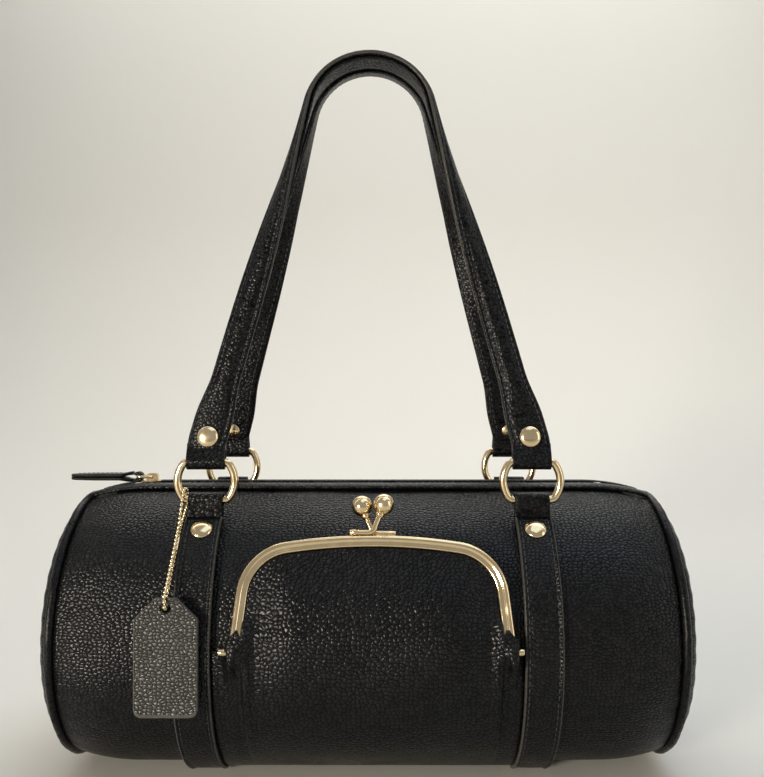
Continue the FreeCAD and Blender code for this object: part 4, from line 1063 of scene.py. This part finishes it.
def pocket_rows():
    """Rows of the pocket's face inside the frame, and rows of the wider face below it."""
    rows_up, rows_low, wing = 34, 56, 8
    over = arch_over(POCKET_INSET, 16)
    count = len(over) - 1
    half = leg_x(POCKET_INSET, POCKET_TOP)
    upper = []
    for i in range(rows_up, 0, -1):
        v = i / rows_up
        leg_up = mix(POCKET_TOP, over[0][1], v)
        leg = leg_x(POCKET_INSET, leg_up)
        row = []
        for j, top in enumerate(over):
            across = mix(-1.0, 1.0, j / count)
            x = leg * across + v * (top[0] + over[0][0] * across)
            up = leg_up + v * (top[1] - over[0][1])
            row.append(frame_point(x, up, pocket_out(x, up)))
        upper.append(row)
    inner = [HINGE.x + x for x in spaced(-half, half, count)]
    xs = spaced(-POCKET_SIDE, inner[0], wing)[:-1] + inner + spaced(inner[-1], POCKET_SIDE, wing)[1:]
    lower = [[pocket_low(x, share) for x in xs] for share in spaced(0.0, 1.0, rows_low)]
    return upper + [lower[0][wing:wing + count + 1]], lower


def build_pocket():
    shape = Shape()
    for rows in pocket_rows():
        shape.grid(rows)
    outside = shape.make("pocket_front_leather", GRAIN, EDGE)
    thick = outside.modifiers.new("thickness", "SOLIDIFY")
    thick.thickness = POCKET_THICK * MM
    thick.offset = -1.0
    thick.use_rim = True
    thick.material_offset_rim = 1
    if outside.data.polygons[len(outside.data.polygons) // 2].normal.y > 0:
        outside.data.flip_normals()
    bpy.context.view_layer.update()
    solid = bpy.data.meshes.new_from_object(outside.evaluated_get(bpy.context.evaluated_depsgraph_get()))
    outside.modifiers.clear()
    outside.data = solid
    solid.shade_smooth()
    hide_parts("pocket_front")
    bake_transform(outside)


# Hang tag

TAG_X = -84.1
TAG_TOP = RING_Z - 36.2
TAG_BOTTOM = TAG_TOP - 50.0
TAG_HALF = 13.5
TAG_CLIP = 9.0
TAG_THICK = 1.2
TAG_Y = -(RADIUS + STRAP_OUTER + 0.6 + TAG_THICK)
HOLE = 2.2
HOLE_Z = TAG_TOP - 2.0 - HOLE
BEAD = 0.95
BEAD_PITCH = 2.2
CHAIN_HALF_GAP = 1.25
RING_TURN = 5.3


def tag_outline():
    """The tag's outline as (x, z), with rounded corners."""
    right = [(TAG_HALF, TAG_BOTTOM, 4.0), (TAG_HALF, TAG_TOP - TAG_CLIP, 2.0),
             (TAG_HALF - TAG_CLIP, TAG_TOP, 2.0)]
    corners = right[2:] + [(-x, z, radius) for x, z, radius in reversed(right)] + right[:2]
    points = []
    for i, (x, z, radius) in enumerate(corners):
        here = Vector((x, z))
        before = (Vector(corners[i - 1][:2]) - here).normalized()
        after = (Vector(corners[(i + 1) % 6][:2]) - here).normalized()
        run = radius / tan(acos(max(-1, min(1, before.dot(after)))) / 2)
        points += bend(here + before * run, here, here + after * run, 6)
    dense = []
    for a, b in zip(points, points[1:] + points[:1]):
        steps = max(1, int((b - a).length / 1.2))
        dense += [a + (b - a) * (k / steps) for k in range(steps)]
    return dense


def build_tag():
    hole = Vector((0, HOLE_Z))
    outline = tag_outline()

    def ring_at(share, y):
        """A loop between the hole (0) and the outline (1)."""
        spots = [hole + (p - hole).normalized() * mix(HOLE, (p - hole).length, share) for p in outline]
        return [Vector((TAG_X + q.x, TAG_Y + y, q.y)) for q in spots]

    front = [ring_at(s, -TAG_THICK - 0.12 * sin(pi * s))
             for s in (0.02, 0.1, 0.25, 0.42, 0.6, 0.78, 0.9, 0.965)]
    rim = [ring_at(s, y) for s, y in ((0.99, 0.22 - TAG_THICK), (1.0, 0.6 - TAG_THICK),
                                      (1.0, TAG_THICK - 0.6), (0.99, TAG_THICK - 0.22))]
    back = [ring_at(s, TAG_THICK) for s in (0.965, 0.8, 0.55, 0.3, 0.1, 0.02)]
    bore = [ring_at(0.0, y) for y in (TAG_THICK - 0.3, 0.3 - TAG_THICK)]
    shape = Shape()
    shape.grid(front + rim + back + bore, close_rows=True, close_columns=True)
    edge_rows = range(len(front) - 1, len(front) + len(rim))
    shape.indices = [1 if i // len(outline) in edge_rows else 0 for i in range(len(shape.faces))]
    shape.piece("tag_leather_plate", TAG_LEATHER, "hang_tag", "grained_leather", "tag", RAW_EDGE)


def chain_route():
    """Closed line of the chain: round the ring's bar, down, through the tag's hole and up again."""
    reach = TAG_THICK + BEAD + FIT
    over = TAG_TOP + BEAD
    top, low = Vector((0, RING_Y, RING_Z)), Vector((0, TAG_Y, over))
    down = (low - top).normalized()
    across = down.cross(X_AXIS)
    turns = [radians(turn) for turn in (-90, -130, 180, 130, 90)]
    route = [top + (down * cos(t) + across * sin(t)) * RING_TURN for t in turns]
    route += [mix(top, low, share) + across * CHAIN_HALF_GAP for share in (0.3, 0.75)]
    outer, inner = (TAG_Y - reach, TAG_Y + reach) if across.y < 0 else (TAG_Y + reach, TAG_Y - reach)
    route += [Vector((0, y, z)) for y, z in ((outer, over), (outer, HOLE_Z), (inner, HOLE_Z), (inner, over))]
    route += [mix(top, low, share) - across * CHAIN_HALF_GAP for share in (0.75, 0.3)]
    return [p + X_AXIS * TAG_X for p in route]


def build_chain():
    route = chain_route()
    spans = list(zip(route, route[1:] + route[:1]))
    total = sum((b - a).length for a, b in spans)
    count = round(total / BEAD_PITCH)
    step = total / count
    beads, travelled = [], 0.0
    for a, b in spans:
        length = (b - a).length
        way = (b - a).normalized()
        while len(beads) * step < travelled + length and len(beads) < count:
            beads.append((a + way * (len(beads) * step - travelled), way))
        travelled += length
    shape = Shape()
    for point, way in beads:
        shape.lathe(ball_profile(BEAD, 10), point, way, 14)
    for (a, _), (b, _) in zip(beads, beads[1:] + beads[:1]):
        shape.tube([a, b], 0.36, 6)
    shape.metal("tag_bead_chain", "hang_chain", "tag_chain")


# Stage, light and camera, in metres

FLOOR_FRONT, FLOOR_BACK, FLOOR_HALF = -7.0, 0.6, 12.0
COVE, WALL_TOP = 0.5, 4.0
DAY = (1.0, 0.985, 0.96)
FLOOR_LAMP_X = 3.6

# Place, target, size, watts, colour and beam in degrees
LAMPS = (
    ("key_left", (-1.05, -1.4, 0.24), (0, 0, 0.1), (0.36, 0.36), 4.6, (1.0, 0.92, 0.78), 70.0),
    ("sky_above", (0.35, -0.2, 1.4), (0, 0, 0.1), (1.6, 0.8), 5, (0.62, 0.8, 1.0), 180.0),
    ("fill_right", (1.4, -0.7, 0.5), (0, 0, 0.12), (0.5, 1.1), 3, (1.0, 0.97, 0.93), 180.0),
    ("wall_wash", (0.0, 0.3, 2.2), (0, 1.1, 0.5), (22.0, 0.4), 52, DAY, 180.0),
    ("back_top", (0.0, 0.9, 1.2), (0, 0, 0.15), (1.4, 0.5), 6, (1.0, 0.98, 0.95), 180.0),
)
WORLD_SEEN, WORLD_LIGHT = 0.4, 0.06
PHOTO_HEIGHT, FOCAL_PIXELS, SENSOR = 777.0, 861.0, 36.0


def build_stage():
    """A pale floor that rises in a cove to a wall behind the bag."""
    material, tree, shader, place = new_material("floor_paint", Roughness=0.9)
    clouds = noise(tree, place, 6.0, 3.0)["Fac"]
    feed(tree, shader, Base_Color=two_tone(tree, clouds, (0.86, 0.835, 0.775), (0.88, 0.855, 0.8)))
    profile = [(FLOOR_FRONT, 0.0)]
    profile += [(FLOOR_BACK + COVE * sin(t), COVE - COVE * cos(t)) for t in spaced(0.0, pi / 2, 12)]
    profile += [(FLOOR_BACK + COVE, WALL_TOP)]
    points = [(x, y, z) for y, z in profile for x in (-FLOOR_HALF, FLOOR_HALF)]
    mesh = bpy.data.meshes.new("floor")
    mesh.from_pydata(points, [], [(k, k + 1, k + 3, k + 2) for k in range(0, len(points) - 2, 2)])
    mesh.materials.append(material)
    mesh.shade_smooth()
    floor = bpy.data.objects.new("floor", mesh)
    bpy.context.scene.collection.objects.link(floor)


def area_light(name, place, target, size, watts, colour, spread):
    data = bpy.data.lights.new(name, "AREA")
    data.shape = "RECTANGLE"
    data.size, data.size_y = size
    data.energy = watts
    data.spread = radians(spread)
    data.color = colour
    lamp = bpy.data.objects.new(name, data)
    lamp.location = place
    lamp.rotation_euler = (Vector(target) - Vector(place)).to_track_quat("-Z", "Y").to_euler()
    bpy.context.scene.collection.objects.link(lamp)


def build_light():
    world = bpy.data.worlds.new("studio")
    world.use_nodes = True
    tree = world.node_tree
    rays = add(tree, "LightPath").outputs
    seen = calc(tree, "MAXIMUM", rays["Is Camera Ray"], rays["Is Glossy Ray"])
    seen = calc(tree, "MAXIMUM", seen, rays["Is Transmission Ray"])
    strength = calc(tree, "MAXIMUM", calc(tree, "MULTIPLY", seen, WORLD_SEEN), WORLD_LIGHT)
    feed(tree, tree.nodes["Background"], Color=(0.93, 0.93, 0.95, 1), Strength=strength)
    bpy.context.scene.world = world
    for row in LAMPS:
        area_light(*row)
    for side, name in SIDES:
        x = FLOOR_LAMP_X * side
        area_light("floor_" + name, (x, -2.0, 2.6), (x, -2.0, 0.0), (3.6, 7.0), 40, DAY, 90.0)


def build_camera():
    data = bpy.data.cameras.new("photo_view")
    data.sensor_fit = "AUTO"
    data.sensor_width = SENSOR
    data.lens = FOCAL_PIXELS * SENSOR / PHOTO_HEIGHT
    data.clip_start = 0.01
    camera = bpy.data.objects.new("photo_view", data)
    camera.location = at(6.0, -430.0, 114.0)
    camera.rotation_euler = (radians(90.0), 0.0, 0.0)
    bpy.context.scene.collection.objects.link(camera)
    bpy.context.scene.camera = camera


build_camera()
build_stage()
build_light()
build_body()
build_lining()
for side, name in SIDES:
    build_end(side, name)
    build_piping(side, name)
    build_strap(side, name)
    for front in (True, False):
        build_tab(front, side, name)
build_zip_side(1, "front")
build_zip_side(-1, "back")
build_pull()
for front in (True, False):
    build_tab_rivets(front)
    build_handle(front)
    build_frame_half(front)
    build_clasp(front)
for front in (True, False):
    build_rings(front)
build_pins()
build_collar()
build_pocket()
build_tag()
build_chain()
for name in ("zip_stops", "zip_slider", "zip_pull_link", "tag_connector"):
    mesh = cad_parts[name].data
    mesh.materials.clear()
    mesh.materials.append(GOLD)
bpy.context.scene.view_settings.view_transform = "Standard"
